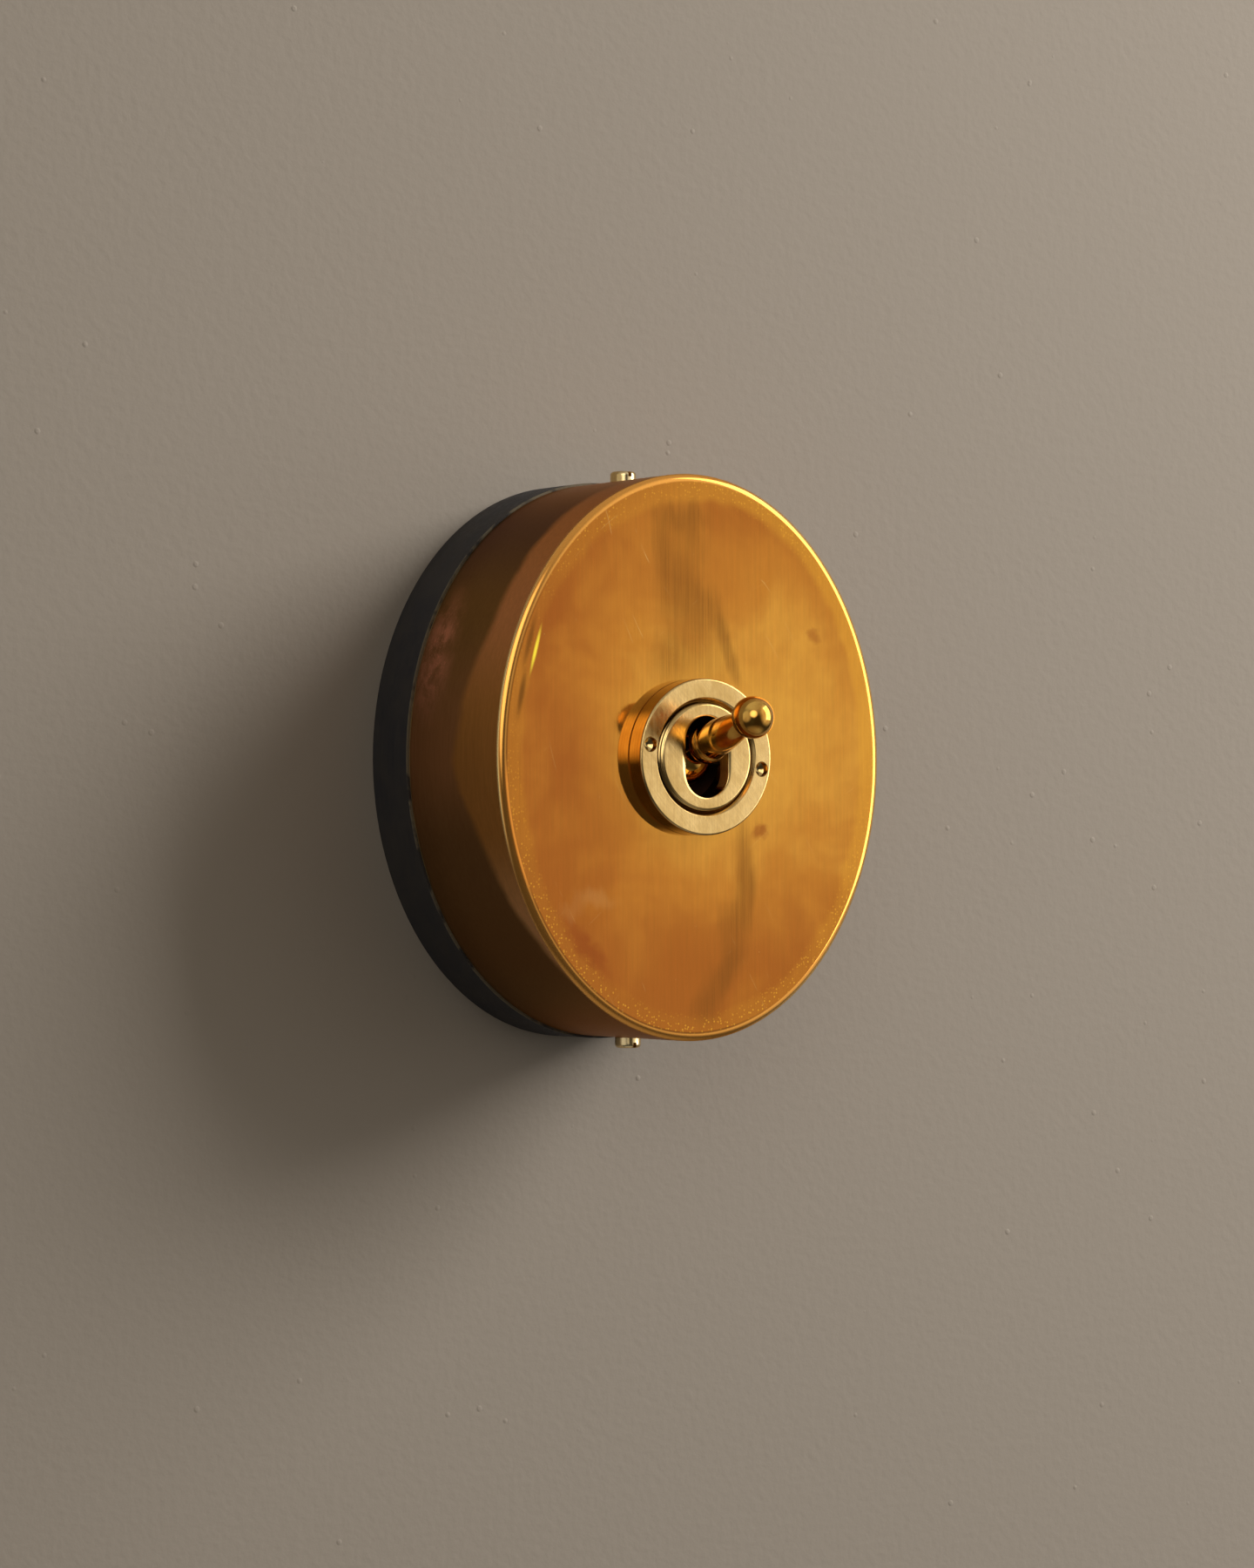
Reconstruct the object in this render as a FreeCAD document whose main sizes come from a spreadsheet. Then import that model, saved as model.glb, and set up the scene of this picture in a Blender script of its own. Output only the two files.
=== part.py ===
import FreeCAD, Part

import math
import os
from types import SimpleNamespace

import Sketcher

# Oval wall switch with a brass dolly. The wall is the plane y = 0, the front faces -Y and +Z is up.
# A depth is the distance from the wall towards the front, so it lies at y = -depth.
# Lengths are in millimetres and angles in degrees.
SIZES = {
    # cover: an oval cup drawn from sheet
    "cover_width": 80.4,
    "cover_height": 100.0,
    "cover_depth": 30.8,
    "cover_sheet": 1.2,
    "cover_edge_radius": 1.4,
    # back box: a rim that shows, and a spigot that plugs into the cover
    "box_rim_depth": 12.2,
    "box_reveal": 0.4,
    "box_floor": 3.0,
    "box_wall": 2.4,
    "spigot_depth": 14.8,
    "spigot_clearance": 0.25,
    "cable_hole_radius": 10.0,
    "cable_hole_drop": 27.0,
    "wall_screw_spacing": 60.3,
    "wall_screw_hole_radius": 2.25,
    "wall_boss_radius": 4.6,
    "wall_boss_height": 1.5,
    "insert_lug_width": 12.0,
    "insert_lug_thickness": 6.5,
    # side screws of the cover and their threaded inserts
    "side_screw_setback": 8.4,
    "side_screw_radius": 1.25,
    "side_screw_length": 7.0,
    "side_screw_head_radius": 2.35,
    "side_screw_head_height": 1.9,
    "side_screw_head_edge": 0.7,
    "side_screw_slot_width": 0.7,
    "side_screw_slot_depth": 1.0,
    "insert_radius": 2.3,
    "insert_length": 5.2,
    "insert_recess": 0.1,
    # lock ring
    "ring_radius": 13.8,
    "ring_thickness": 3.9,
    "ring_edge_radius": 0.4,
    "ring_mouth_chamfer": 0.9,
    "spanner_hole_radius": 1.3,
    "spanner_hole_circle": 11.9,
    "spanner_hole_depth": 1.3,
    "spanner_hole_point_angle": 118.0,
    "spanner_hole_turn": 10.5,
    # threaded bush
    "thread_radius": 9.5,
    "thread_clearance": 0.05,
    "cover_hole_clearance": 0.2,
    "bush_proud": 0.2,
    "bush_edge_radius": 0.6,
    "bush_front_wall": 2.6,
    "bush_bore_radius": 7.6,
    "bush_flange_margin": 2.8,
    "slot_width": 8.9,
    "slot_height": 14.3,
    "slot_overcut": 0.4,
    # dolly lever, measured along its own axis from the pivot
    "pivot_setback": 3.7,
    "lever_tilt": 16.5,
    "lever_ball_radius": 3.7,
    "lever_ball_distance": 23.0,
    "lever_neck_radius": 1.9,
    "lever_ridge_radius": 3.65,
    "lever_ridge_distance": 8.4,
    "lever_flank_radius": 40.0,
    "lever_shoulder_radius": 3.3,
    "lever_shoulder_rise": 1.2,
    "lever_bead_radius": 2.4,
    "lever_underside_radius": 2.2,
    "lever_waist_radius": 2.6,
    "lever_waist_distance": 6.2,
    "pivot_ball_radius": 5.0,
    "pivot_ball_clearance": 0.5,
    "tail_radius": 3.2,
    "tail_length": 10.5,
    "spring_seat_distance": 2.0,
    "pivot_pin_radius": 1.25,
    "pivot_pin_clearance": 0.05,
    "pivot_pin_end_gap": 0.2,
    "pivot_pin_end_wall": 0.95,
    # plunger and spring in the lever's tail
    "plunger_radius": 1.95,
    "plunger_clearance": 0.06,
    "plunger_length": 6.0,
    "plunger_reach": 13.0,
    "spring_wire_radius": 0.22,
    "spring_coil_radius": 1.5,
    "spring_turns": 5.0,
    "spring_end_gap": 0.05,
    # rocker: a dished see-saw with flat arms
    "rocker_gap": 0.1,
    "rocker_thickness": 1.0,
    "rocker_width": 5.0,
    "rocker_arm": 9.0,
    "rocker_dish_angle": 20.0,
    "rocker_tilt": 7.0,
    "fulcrum_drop": 1.6,
    "rocker_lug_radius": 1.2,
    "rocker_lug_width": 3.0,
    "rocker_pin_radius": 0.75,
    "rocker_pin_clearance": 0.05,
    # contact rivets
    "contact_offset": 7.2,
    "contact_radius": 1.2,
    "contact_shank_radius": 0.6,
    "moving_contact_head": 0.7,
    "fixed_contact_head": 1.6,
    "contact_gap": 0.1,
    # terminals
    "strip_width": 4.0,
    "strip_thickness": 1.2,
    "strip_overhang": 1.8,
    "cradle_thickness": 0.8,
    "cradle_side_gap": 0.2,
    "cradle_ear_thickness": 0.9,
    "cradle_ear_radius": 1.1,
    "stem_width": 4.0,
    "stem_thickness": 2.4,
    "stem_offset": 11.2,
    "stem_clearance": 0.1,
    "block_width": 7.0,
    "block_height": 6.4,
    "block_depth": 7.0,
    "wire_hole_radius": 1.5,
    "terminal_screw_radius": 1.25,
    "terminal_screw_length": 2.6,
    "terminal_screw_head_radius": 2.2,
    "terminal_screw_head_height": 1.5,
    "terminal_screw_head_edge": 0.3,
    "terminal_screw_slot_width": 0.6,
    "terminal_screw_slot_depth": 0.7,
    # housing and its back plate
    "housing_width": 28.0,
    "housing_height": 34.0,
    "housing_corner_radius": 2.5,
    "housing_web": 4.8,
    "cavity_width": 9.0,
    "cavity_height": 26.4,
    "back_thickness": 3.0,
    "housing_screw_radius": 1.25,
    "housing_screw_clearance": 0.1,
    "housing_screw_inset": 2.3,
    "housing_screw_tip_gap": 0.4,
    "housing_screw_head_radius": 2.2,
    "housing_screw_head_height": 1.5,
    "housing_screw_head_edge": 0.3,
    "housing_screw_slot_width": 0.6,
    "housing_screw_slot_depth": 0.7,
    # earth tag with its screw and nut
    "tag_thickness": 0.6,
    "tag_radius": 13.6,
    "tag_tail_width": 6.0,
    "tag_tail_reach": 19.0,
    "tag_tail_drop": 12.0,
    "tag_hole_setback": 8.2,
    "earth_screw_radius": 1.5,
    "earth_screw_clearance": 0.1,
    "earth_screw_length": 3.4,
    "earth_screw_head_radius": 2.6,
    "earth_screw_head_height": 1.7,
    "earth_screw_head_edge": 0.4,
    "earth_screw_slot_width": 0.7,
    "earth_screw_slot_depth": 0.8,
    "earth_nut_radius": 3.1,
    "earth_nut_thickness": 2.0,
}

SHEET = "Sizes"
START, END, CENTRE = range(1, 4)
ACROSS_AXIS, UP_AXIS = range(-1, -3, -1)
ORIGIN = ACROSS_AXIS
FULL_TURN = 360
QUARTER_TURN = 90
HALF_TURN = 180
HEX_SIDES = 6
NORMAL = FreeCAD.Vector(0, 0, 1)


class Size:
    """A number together with the sheet expression that gives it."""

    def __init__(self, value, text):
        self.value = value
        self.text = text

    def __add__(self, other):
        other = as_size(other)
        return Size(self.value + other.value, f"({self.text} + {other.text})")

    def __sub__(self, other):
        other = as_size(other)
        return Size(self.value - other.value, f"({self.text} - {other.text})")

    def __mul__(self, other):
        other = as_size(other)
        return Size(self.value * other.value, f"({self.text} * {other.text})")

    def __truediv__(self, other):
        other = as_size(other)
        return Size(self.value / other.value, f"({self.text} / {other.text})")

    def __neg__(self):
        return Size(-self.value, f"(-1 * {self.text})")


def as_size(amount):
    return amount if isinstance(amount, Size) else Size(float(amount), str(amount))


def root(amount):
    return Size(math.sqrt(amount.value), f"sqrt({amount.text})")


def cosine(angle):
    return Size(math.cos(math.radians(angle.value)), f"cos({angle.text})")


def sine(angle):
    return Size(math.sin(math.radians(angle.value)), f"sin({angle.text})")


def leg(hypotenuse, other_leg):
    """The other short side of a right triangle."""
    return root(hypotenuse * hypotenuse - other_leg * other_leg)


doc = FreeCAD.newDocument("DollySwitch")
sheet = doc.addObject("Spreadsheet::Sheet", SHEET)
for row, (name, number) in enumerate(SIZES.items(), start=1):
    sheet.set(f"A{row}", name)
    sheet.set(f"B{row}", str(number))
    sheet.setAlias(f"B{row}", name)
doc.recompute()
size = SimpleNamespace(**{name: Size(number, f"{SHEET}.{name}") for name, number in SIZES.items()})


def new_body(label):
    body = doc.addObject("PartDesign::Body", label)
    body.Label = label
    return body


def new_sketch(body, role, offset=None):
    """A sketch on one of the body's origin planes, moved along the plane's normal."""
    sketch = body.newObject("Sketcher::SketchObject", f"{body.Label}_sketch")
    plane = next(item for item in body.Origin.OriginFeatures if item.Role == role)
    sketch.AttachmentSupport = (plane, "")
    sketch.MapMode = "FlatFace"
    if offset is not None:
        sketch.setExpression("AttachmentOffset.Base.z", offset.text)
    return sketch


def facing(body, depth=None):
    """A sketch seen from the front: across is X, up is Z, at a depth from the wall."""
    return new_sketch(body, "XZ_Plane", depth)


def plan(body):
    """A sketch seen from above: across is X, up is Y."""
    return new_sketch(body, "XY_Plane")


def section(body):
    """A sketch seen from the side: across is Y, up is Z."""
    return new_sketch(body, "YZ_Plane")


def bind(sketch, constraint, amount):
    index = sketch.addConstraint(constraint)
    sketch.setExpression(f"Constraints[{index}]", amount.text)


def fix_point(sketch, item, point, across, up):
    """Ties a point to the sketch's origin. A plain 0 puts it on the axis."""
    for kind, amount, axis in (("DistanceX", across, UP_AXIS), ("DistanceY", up, ACROSS_AXIS)):
        if isinstance(amount, Size):
            bind(sketch, Sketcher.Constraint(kind, ORIGIN, START, item, point, amount.value), amount)
        else:
            sketch.addConstraint(Sketcher.Constraint("PointOnObject", item, point, axis))


def vector_of(across, up):
    return FreeCAD.Vector(as_size(across).value, as_size(up).value, 0)


def arc_between(first, last, radius):
    """The short arc between two points, anticlockwise."""
    chord = last - first
    side = NORMAL.cross(chord)
    side.normalize()
    rise = math.sqrt(max(radius * radius - chord.Length * chord.Length / 4, 0.0))
    centre = (first + last) / 2 + side * rise
    angles = [math.atan2(point.y - centre.y, point.x - centre.x) for point in (first, last)]
    return Part.ArcOfCircle(Part.Circle(centre, NORMAL, radius), *angles)


def draw_outline(sketch, corners):
    """A closed outline. A corner is (across, up), or (across, up, radius, turn) where an arc ends:
    turn is 1 for an anticlockwise arc and -1 for a clockwise one. An arc is under half a circle."""
    edges = []
    for index, corner in enumerate(corners):
        following = corners[(index + 1) % len(corners)]
        first = vector_of(*corner[:2])
        last = vector_of(*following[:2])
        if len(following) == 2:
            item = sketch.addGeometry(Part.LineSegment(first, last), False)
            edges.append((item, START, END))
            continue
        radius, turn = following[2:]
        ends = (first, last) if turn > 0 else (last, first)
        item = sketch.addGeometry(arc_between(*ends, radius.value), False)
        edges.append((item, START, END) if turn > 0 else (item, END, START))
        bind(sketch, Sketcher.Constraint("Radius", item, radius.value), radius)
    for index, (item, begin, finish) in enumerate(edges):
        after, after_begin, _ = edges[(index + 1) % len(edges)]
        sketch.addConstraint(Sketcher.Constraint("Coincident", item, finish, after, after_begin))
        fix_point(sketch, item, begin, *corners[index][:2])


def draw_circle(sketch, across, up, radius):
    circle = Part.Circle(vector_of(across, up), NORMAL, radius.value)
    item = sketch.addGeometry(circle, False)
    fix_point(sketch, item, CENTRE, across, up)
    bind(sketch, Sketcher.Constraint("Radius", item, radius.value), radius)


def draw_oval(sketch, width, height):
    """An ellipse about the origin, with its long axis on the longer of the two sizes."""
    tall = height.value >= width.value
    longer, shorter = (height, width) if tall else (width, height)
    side_end = vector_of(width / 2, 0)
    top_end = vector_of(0, height / 2)
    ends = (top_end, side_end) if tall else (side_end, top_end)
    item = sketch.addGeometry(Part.Ellipse(*ends, FreeCAD.Vector()), False)
    sketch.exposeInternalGeometry(item)
    long_axis = item + 1
    short_axis = item + 2
    sketch.addConstraint(Sketcher.Constraint("Coincident", item, CENTRE, ORIGIN, START))
    axis = UP_AXIS if tall else ACROSS_AXIS
    sketch.addConstraint(Sketcher.Constraint("PointOnObject", long_axis, START, axis))
    bind(sketch, Sketcher.Constraint("Distance", long_axis, longer.value), longer)
    bind(sketch, Sketcher.Constraint("Distance", short_axis, shorter.value), shorter)


def draw_rectangle(sketch, left, right, low, high):
    draw_outline(sketch, [(left, low), (right, low), (right, high), (left, high)])


def draw_rounded_rectangle(sketch, width, height, radius):
    across = width / 2
    up = height / 2
    inner_across = across - radius
    inner_up = up - radius
    draw_outline(sketch, [
        (-inner_across, -up, radius, 1),
        (inner_across, -up),
        (across, -inner_up, radius, 1),
        (across, inner_up),
        (inner_across, up, radius, 1),
        (-inner_across, up),
        (-across, inner_up, radius, 1),
        (-across, -inner_up),
    ])


def draw_upright_slot(sketch, width, height):
    """A slot with round ends, each end drawn as two quarter arcs."""
    radius = width / 2
    straight = height / 2 - radius
    draw_outline(sketch, [
        (radius, -straight, radius, 1),
        (radius, straight),
        (0, height / 2, radius, 1),
        (-radius, straight, radius, 1),
        (-radius, -straight),
        (0, -height / 2, radius, 1),
    ])


def pad(body, sketch, length, symmetric=False):
    feature = body.newObject("PartDesign::Pad", f"{body.Label}_pad")
    feature.Profile = sketch
    feature.setExpression("Length", length.text)
    if symmetric:
        feature.SideType = "Symmetric"
    doc.recompute()
    return feature


def cut(body, sketch, length=None, symmetric=False, forward=False):
    """Cuts towards the wall, or towards the front where forward is set; without a length, right through."""
    before = body.Shape.Volume
    feature = body.newObject("PartDesign::Pocket", f"{body.Label}_cut")
    feature.Profile = sketch
    if length is None:
        feature.Type = "ThroughAll"
    else:
        feature.setExpression("Length", length.text)
    if symmetric:
        feature.SideType = "Symmetric"
    feature.Reversed = forward
    doc.recompute()
    if body.Shape.Volume >= before:
        raise RuntimeError(f"{feature.Label} cuts nothing")
    return feature


def turn(body, corners):
    """A turned piece: the outline's across is a radius and its up is a depth, about the Y axis."""
    sketch = plan(body)
    mirrored = []
    for radius, depth, *arc in corners:
        flipped = [arc[0], -arc[1]] if arc else []
        mirrored.append((radius, -depth, *flipped))
    draw_outline(sketch, mirrored)
    feature = body.newObject("PartDesign::Revolution", f"{body.Label}_turn")
    feature.Profile = sketch
    feature.ReferenceAxis = (sketch, ["V_Axis"])
    feature.Angle = FULL_TURN
    doc.recompute()
    return feature


def place(item, across, depth, up, axis="1; 0; 0", angle=0):
    """Puts a piece at a point given by X, depth and Z, turned about an axis."""
    spot = f"vector({as_size(across).text}; {(-as_size(depth)).text}; {as_size(up).text})"
    item.setExpression("Placement", f"placement({spot}; rotation(vector({axis}); {as_size(angle).text}))")


def group(label, members):
    """Several like pieces under one name."""
    bundle = doc.addObject("Part::Compound", label)
    bundle.Links = members
    bundle.Label = label
    return bundle


def edges_at_depth(feature, depth, width):
    """Names of the edges that lie flat at a depth and reach across a width."""
    tolerance = 0.01
    names = []
    for index, edge in enumerate(feature.Shape.Edges, start=1):
        box = edge.BoundBox
        flat = abs(box.YMin + depth) < tolerance and abs(box.YMax + depth) < tolerance
        if flat and abs(box.XLength - width) < tolerance:
            names.append(f"Edge{index}")
    return names


# Depths from the wall that more than one piece takes its place from
cover_front = size.box_rim_depth + size.cover_depth
cover_inside = cover_front - size.cover_sheet
side_screw_depth = size.box_rim_depth + size.side_screw_setback
ring_face = cover_front + size.ring_thickness
bush_face = ring_face + size.bush_proud
flange_front = cover_inside - size.tag_thickness
pivot_depth = cover_front - size.pivot_setback

# The rocker, measured forward from its fulcrum
dish_radius = size.plunger_reach + size.rocker_gap
dish_centre = dish_radius + size.rocker_thickness + size.fulcrum_drop
fulcrum_depth = pivot_depth - dish_centre
arm_front = dish_centre - dish_radius * cosine(size.rocker_dish_angle)
arm_back = arm_front - size.rocker_thickness
moving_face = arm_back - size.moving_contact_head
tilt_cosine = cosine(size.rocker_tilt)
tilt_sine = sine(size.rocker_tilt)

# The fixed contacts stand where the tilted rocker's contact comes down
contact_reach = size.contact_offset + size.contact_radius
fixed_contact_front = fulcrum_depth + moving_face * tilt_cosine - contact_reach * tilt_sine - size.contact_gap
fixed_contact_height = size.contact_offset * tilt_cosine + moving_face * tilt_sine
strip_front = fixed_contact_front - size.fixed_contact_head
back_front = strip_front - size.strip_thickness
back_rear = back_front - size.back_thickness
block_rear = back_rear - size.block_depth
ear_reach = size.rocker_lug_width / 2 + size.cradle_side_gap + size.cradle_ear_thickness

spigot_width = size.cover_width - (size.cover_sheet + size.spigot_clearance) * 2
spigot_height = size.cover_height - (size.cover_sheet + size.spigot_clearance) * 2
spigot_front = size.box_rim_depth + size.spigot_depth
spring_bore_radius = size.plunger_radius + size.plunger_clearance
housing_screw_hole_radius = size.housing_screw_radius + size.housing_screw_clearance
housing_screw_offset = size.housing_width / 2 - size.housing_screw_inset
bush_flange_radius = housing_screw_offset + size.bush_flange_margin
pin_groove_radius = size.pivot_pin_radius + size.pivot_pin_clearance
pin_groove_length = (housing_screw_offset - housing_screw_hole_radius - size.pivot_pin_end_wall) * 2
pivot_pin_length = pin_groove_length - size.pivot_pin_end_gap * 2
tag_hole_depth = cover_inside - size.tag_hole_setback
earth_hole_radius = size.earth_screw_radius + size.earth_screw_clearance
BOTH_SIDES = (1, -1)


def make_cover():
    """An oval cup with a rounded front edge, open at the back."""
    body = new_body("cover")
    outline = facing(body, size.box_rim_depth)
    draw_oval(outline, size.cover_width, size.cover_height)
    cup = pad(body, outline, size.cover_depth)
    rounding = body.newObject("PartDesign::Fillet", "cover_edge")
    rounding.Base = (cup, edges_at_depth(cup, cover_front.value, size.cover_width.value))
    rounding.setExpression("Radius", size.cover_edge_radius.text)
    doc.recompute()
    hollow = facing(body, size.box_rim_depth)
    draw_oval(hollow, size.cover_width - size.cover_sheet * 2, size.cover_height - size.cover_sheet * 2)
    cut(body, hollow, size.cover_depth - size.cover_sheet, forward=True)
    bush_hole = facing(body, cover_front)
    draw_circle(bush_hole, 0, 0, size.thread_radius + size.cover_hole_clearance)
    cut(body, bush_hole)
    screw_holes = plan(body)
    draw_circle(screw_holes, 0, -side_screw_depth, size.side_screw_radius + size.cover_hole_clearance)
    cut(body, screw_holes, symmetric=True)
    return body


def make_base_box():
    """A back box: a rim on the wall, a spigot into the cover, and lugs for the threaded inserts."""
    body = new_body("base_box")
    rim = facing(body)
    draw_oval(rim, size.cover_width + size.box_reveal * 2, size.cover_height + size.box_reveal * 2)
    pad(body, rim, size.box_rim_depth)
    spigot = facing(body, size.box_rim_depth)
    draw_oval(spigot, spigot_width, spigot_height)
    pad(body, spigot, size.spigot_depth)
    hollow = facing(body, spigot_front)
    draw_oval(hollow, spigot_width - size.box_wall * 2, spigot_height - size.box_wall * 2)
    cut(body, hollow, spigot_front - size.box_floor)
    lug_side = size.insert_lug_width / 2
    lug_inner = spigot_height / 2 - size.insert_lug_thickness
    lug_outer = spigot_height / 2 - size.box_wall / 2
    for side in BOTH_SIDES:
        lug = facing(body, size.box_floor)
        draw_rectangle(lug, -lug_side, lug_side, lug_inner * side, lug_outer * side)
        pad(body, lug, spigot_front - size.box_floor)
    bosses = facing(body, size.box_floor)
    wall_holes = facing(body)
    for side in BOTH_SIDES:
        place_across = size.wall_screw_spacing / 2 * side
        draw_circle(bosses, place_across, 0, size.wall_boss_radius)
        draw_circle(wall_holes, place_across, 0, size.wall_screw_hole_radius)
    pad(body, bosses, size.wall_boss_height)
    draw_circle(wall_holes, 0, -size.cable_hole_drop, size.cable_hole_radius)
    cut(body, wall_holes, size.box_floor + size.wall_boss_height, forward=True)
    insert_holes = plan(body)
    draw_circle(insert_holes, 0, -side_screw_depth, size.insert_radius)
    cut(body, insert_holes, symmetric=True)
    return body


def make_slotted_screw(label, kind, length):
    """A screw along -Y with its head's seat at the origin. The head has a round edge and a slot."""
    radius, head_radius, head_height, head_edge, slot_width, slot_depth = (
        getattr(size, f"{kind}_{part}")
        for part in ("radius", "head_radius", "head_height", "head_edge", "slot_width", "slot_depth"))
    body = new_body(label)
    turn(body, [
        (0, -length),
        (radius, -length),
        (radius, as_size(0)),
        (head_radius, as_size(0)),
        (head_radius, head_height - head_edge),
        (head_radius - head_edge, head_height, head_edge, 1),
        (0, head_height),
    ])
    slot = facing(body, head_height)
    half = slot_width / 2
    draw_rectangle(slot, -half, half, -head_radius, head_radius)
    cut(body, slot, slot_depth)
    return body


def make_cover_screws():
    screws = []
    for side in BOTH_SIDES:
        screw = make_slotted_screw("cover_screw", "side_screw", size.side_screw_length)
        place(screw, 0, side_screw_depth, size.cover_height / 2 * side, angle=-QUARTER_TURN * side)
        screws.append(screw)
    return group("cover_screws", screws)


def make_thread_inserts():
    """Plain tubes, flush with the spigot's outside."""
    bore = size.side_screw_radius + size.thread_clearance
    inserts = []
    for side in BOTH_SIDES:
        insert = new_body("thread_insert")
        turn(insert, [
            (bore, -size.insert_length),
            (size.insert_radius, -size.insert_length),
            (size.insert_radius, as_size(0)),
            (bore, as_size(0)),
        ])
        outer_end = spigot_height / 2 - size.insert_recess
        place(insert, 0, side_screw_depth, outer_end * side, angle=-QUARTER_TURN * side)
        inserts.append(insert)
    return group("thread_inserts", inserts)


def make_lock_ring():
    """A ring nut with a chamfered mouth and two drilled spanner holes."""
    body = new_body("lock_ring")
    bore = size.thread_radius + size.thread_clearance
    turn(body, [
        (bore, cover_front),
        (size.ring_radius, cover_front),
        (size.ring_radius, ring_face - size.ring_edge_radius),
        (size.ring_radius - size.ring_edge_radius, ring_face, size.ring_edge_radius, 1),
        (bore + size.ring_mouth_chamfer, ring_face),
        (bore, ring_face - size.ring_mouth_chamfer),
    ])
    marks = facing(body, ring_face)
    across = size.spanner_hole_circle * cosine(size.spanner_hole_turn)
    up = size.spanner_hole_circle * sine(size.spanner_hole_turn)
    for side in BOTH_SIDES:
        draw_circle(marks, across * side, up * -side, size.spanner_hole_radius)
    doc.recompute()
    holes = body.newObject("PartDesign::Hole", "spanner_holes")
    holes.Profile = marks
    holes.DepthType = "Dimension"
    holes.DrillPoint = "Angled"
    holes.setExpression("Diameter", (size.spanner_hole_radius * 2).text)
    holes.setExpression("Depth", size.spanner_hole_depth.text)
    holes.setExpression("DrillPointAngle", size.spanner_hole_point_angle.text)
    doc.recompute()
    return body


def make_threaded_bush():
    """A flanged tube closed by a slotted front wall; its back holds half of the pin's groove."""
    body = new_body("threaded_bush")
    edge = size.bush_edge_radius
    wall_back = bush_face - size.bush_front_wall
    turn(body, [
        (size.bush_bore_radius, pivot_depth),
        (bush_flange_radius, pivot_depth),
        (bush_flange_radius, flange_front),
        (size.thread_radius, flange_front),
        (size.thread_radius, bush_face - edge),
        (size.thread_radius - edge, bush_face, edge, 1),
        (0, bush_face),
        (0, wall_back),
        (size.bush_bore_radius, wall_back),
    ])
    slot = facing(body, bush_face)
    draw_upright_slot(slot, size.slot_width, size.slot_height)
    cut(body, slot, size.bush_front_wall + size.slot_overcut)
    cut_pin_groove(body)
    screw_holes = facing(body, pivot_depth)
    for side in BOTH_SIDES:
        across = housing_screw_offset * side
        draw_circle(screw_holes, across, 0, size.housing_screw_radius + size.thread_clearance)
    cut(body, screw_holes, flange_front - pivot_depth, forward=True)
    return body


def cut_pin_groove(body):
    groove = section(body)
    draw_circle(groove, -pivot_depth, 0, pin_groove_radius)
    cut(body, groove, pin_groove_length, symmetric=True)


def place_on_lever(body):
    place(body, 0, pivot_depth, 0, angle=-size.lever_tilt)


def make_dolly_lever():
    """A turned lever: ball tip, pear-shaped stem, bead, waist, pivot ball and a bored tail."""
    body = new_body("dolly_lever")
    ball_end = size.lever_ball_distance + size.lever_ball_radius
    neck_distance = size.lever_ball_distance - leg(size.lever_ball_radius, size.lever_neck_radius)
    waist_foot = leg(size.pivot_ball_radius, size.lever_waist_radius)
    tail_root = leg(size.pivot_ball_radius, size.tail_radius)
    shoulder_distance = size.lever_ridge_distance + size.lever_shoulder_rise
    turn(body, [
        (0, ball_end),
        (size.lever_neck_radius, neck_distance, size.lever_ball_radius, -1),
        (size.lever_shoulder_radius, shoulder_distance, size.lever_flank_radius, -1),
        (size.lever_ridge_radius, size.lever_ridge_distance, size.lever_bead_radius, -1),
        (size.lever_waist_radius, size.lever_waist_distance, size.lever_underside_radius, -1),
        (size.lever_waist_radius, waist_foot),
        (size.tail_radius, -tail_root, size.pivot_ball_radius, -1),
        (size.tail_radius, -size.tail_length),
        (spring_bore_radius, -size.tail_length),
        (spring_bore_radius, -size.spring_seat_distance),
        (0, -size.spring_seat_distance),
    ])
    pin_hole = section(body)
    draw_circle(pin_hole, 0, 0, size.pivot_pin_radius)
    cut(body, pin_hole, symmetric=True)
    place_on_lever(body)
    return body


def make_cross_pin(label, radius, length, depth):
    """A plain pin along X."""
    body = new_body(label)
    outline = section(body)
    draw_circle(outline, 0, 0, radius)
    pad(body, outline, length, symmetric=True)
    place(body, 0, depth, 0)
    return body


def make_plunger():
    """A round-ended pin that slides in the lever's tail, at the length it has at mid-throw."""
    body = new_body("plunger")
    inner_end = size.plunger_reach - size.plunger_length
    round_start = size.plunger_reach - size.plunger_radius
    turn(body, [
        (0, -inner_end),
        (size.plunger_radius, -inner_end),
        (size.plunger_radius, -round_start),
        (0, -size.plunger_reach, size.plunger_radius, -1),
    ])
    place_on_lever(body)
    return body


def make_plunger_spring():
    """A round-wire coil between the tail's blind end and the plunger."""
    body = new_body("plunger_spring")
    start = size.spring_seat_distance + size.spring_end_gap + size.spring_wire_radius
    finish = size.plunger_reach - size.plunger_length - size.spring_end_gap - size.spring_wire_radius
    wire = plan(body)
    draw_circle(wire, size.spring_coil_radius, start, size.spring_wire_radius)
    doc.recompute()
    coil = body.newObject("PartDesign::AdditiveHelix", "spring_coil")
    coil.Profile = wire
    coil.ReferenceAxis = (wire, ["V_Axis"])
    coil.Mode = "pitch-height-angle"
    coil.setExpression("Pitch", ((finish - start) / size.spring_turns).text)
    coil.setExpression("Height", (finish - start).text)
    doc.recompute()
    place_on_lever(body)
    return body


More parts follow.
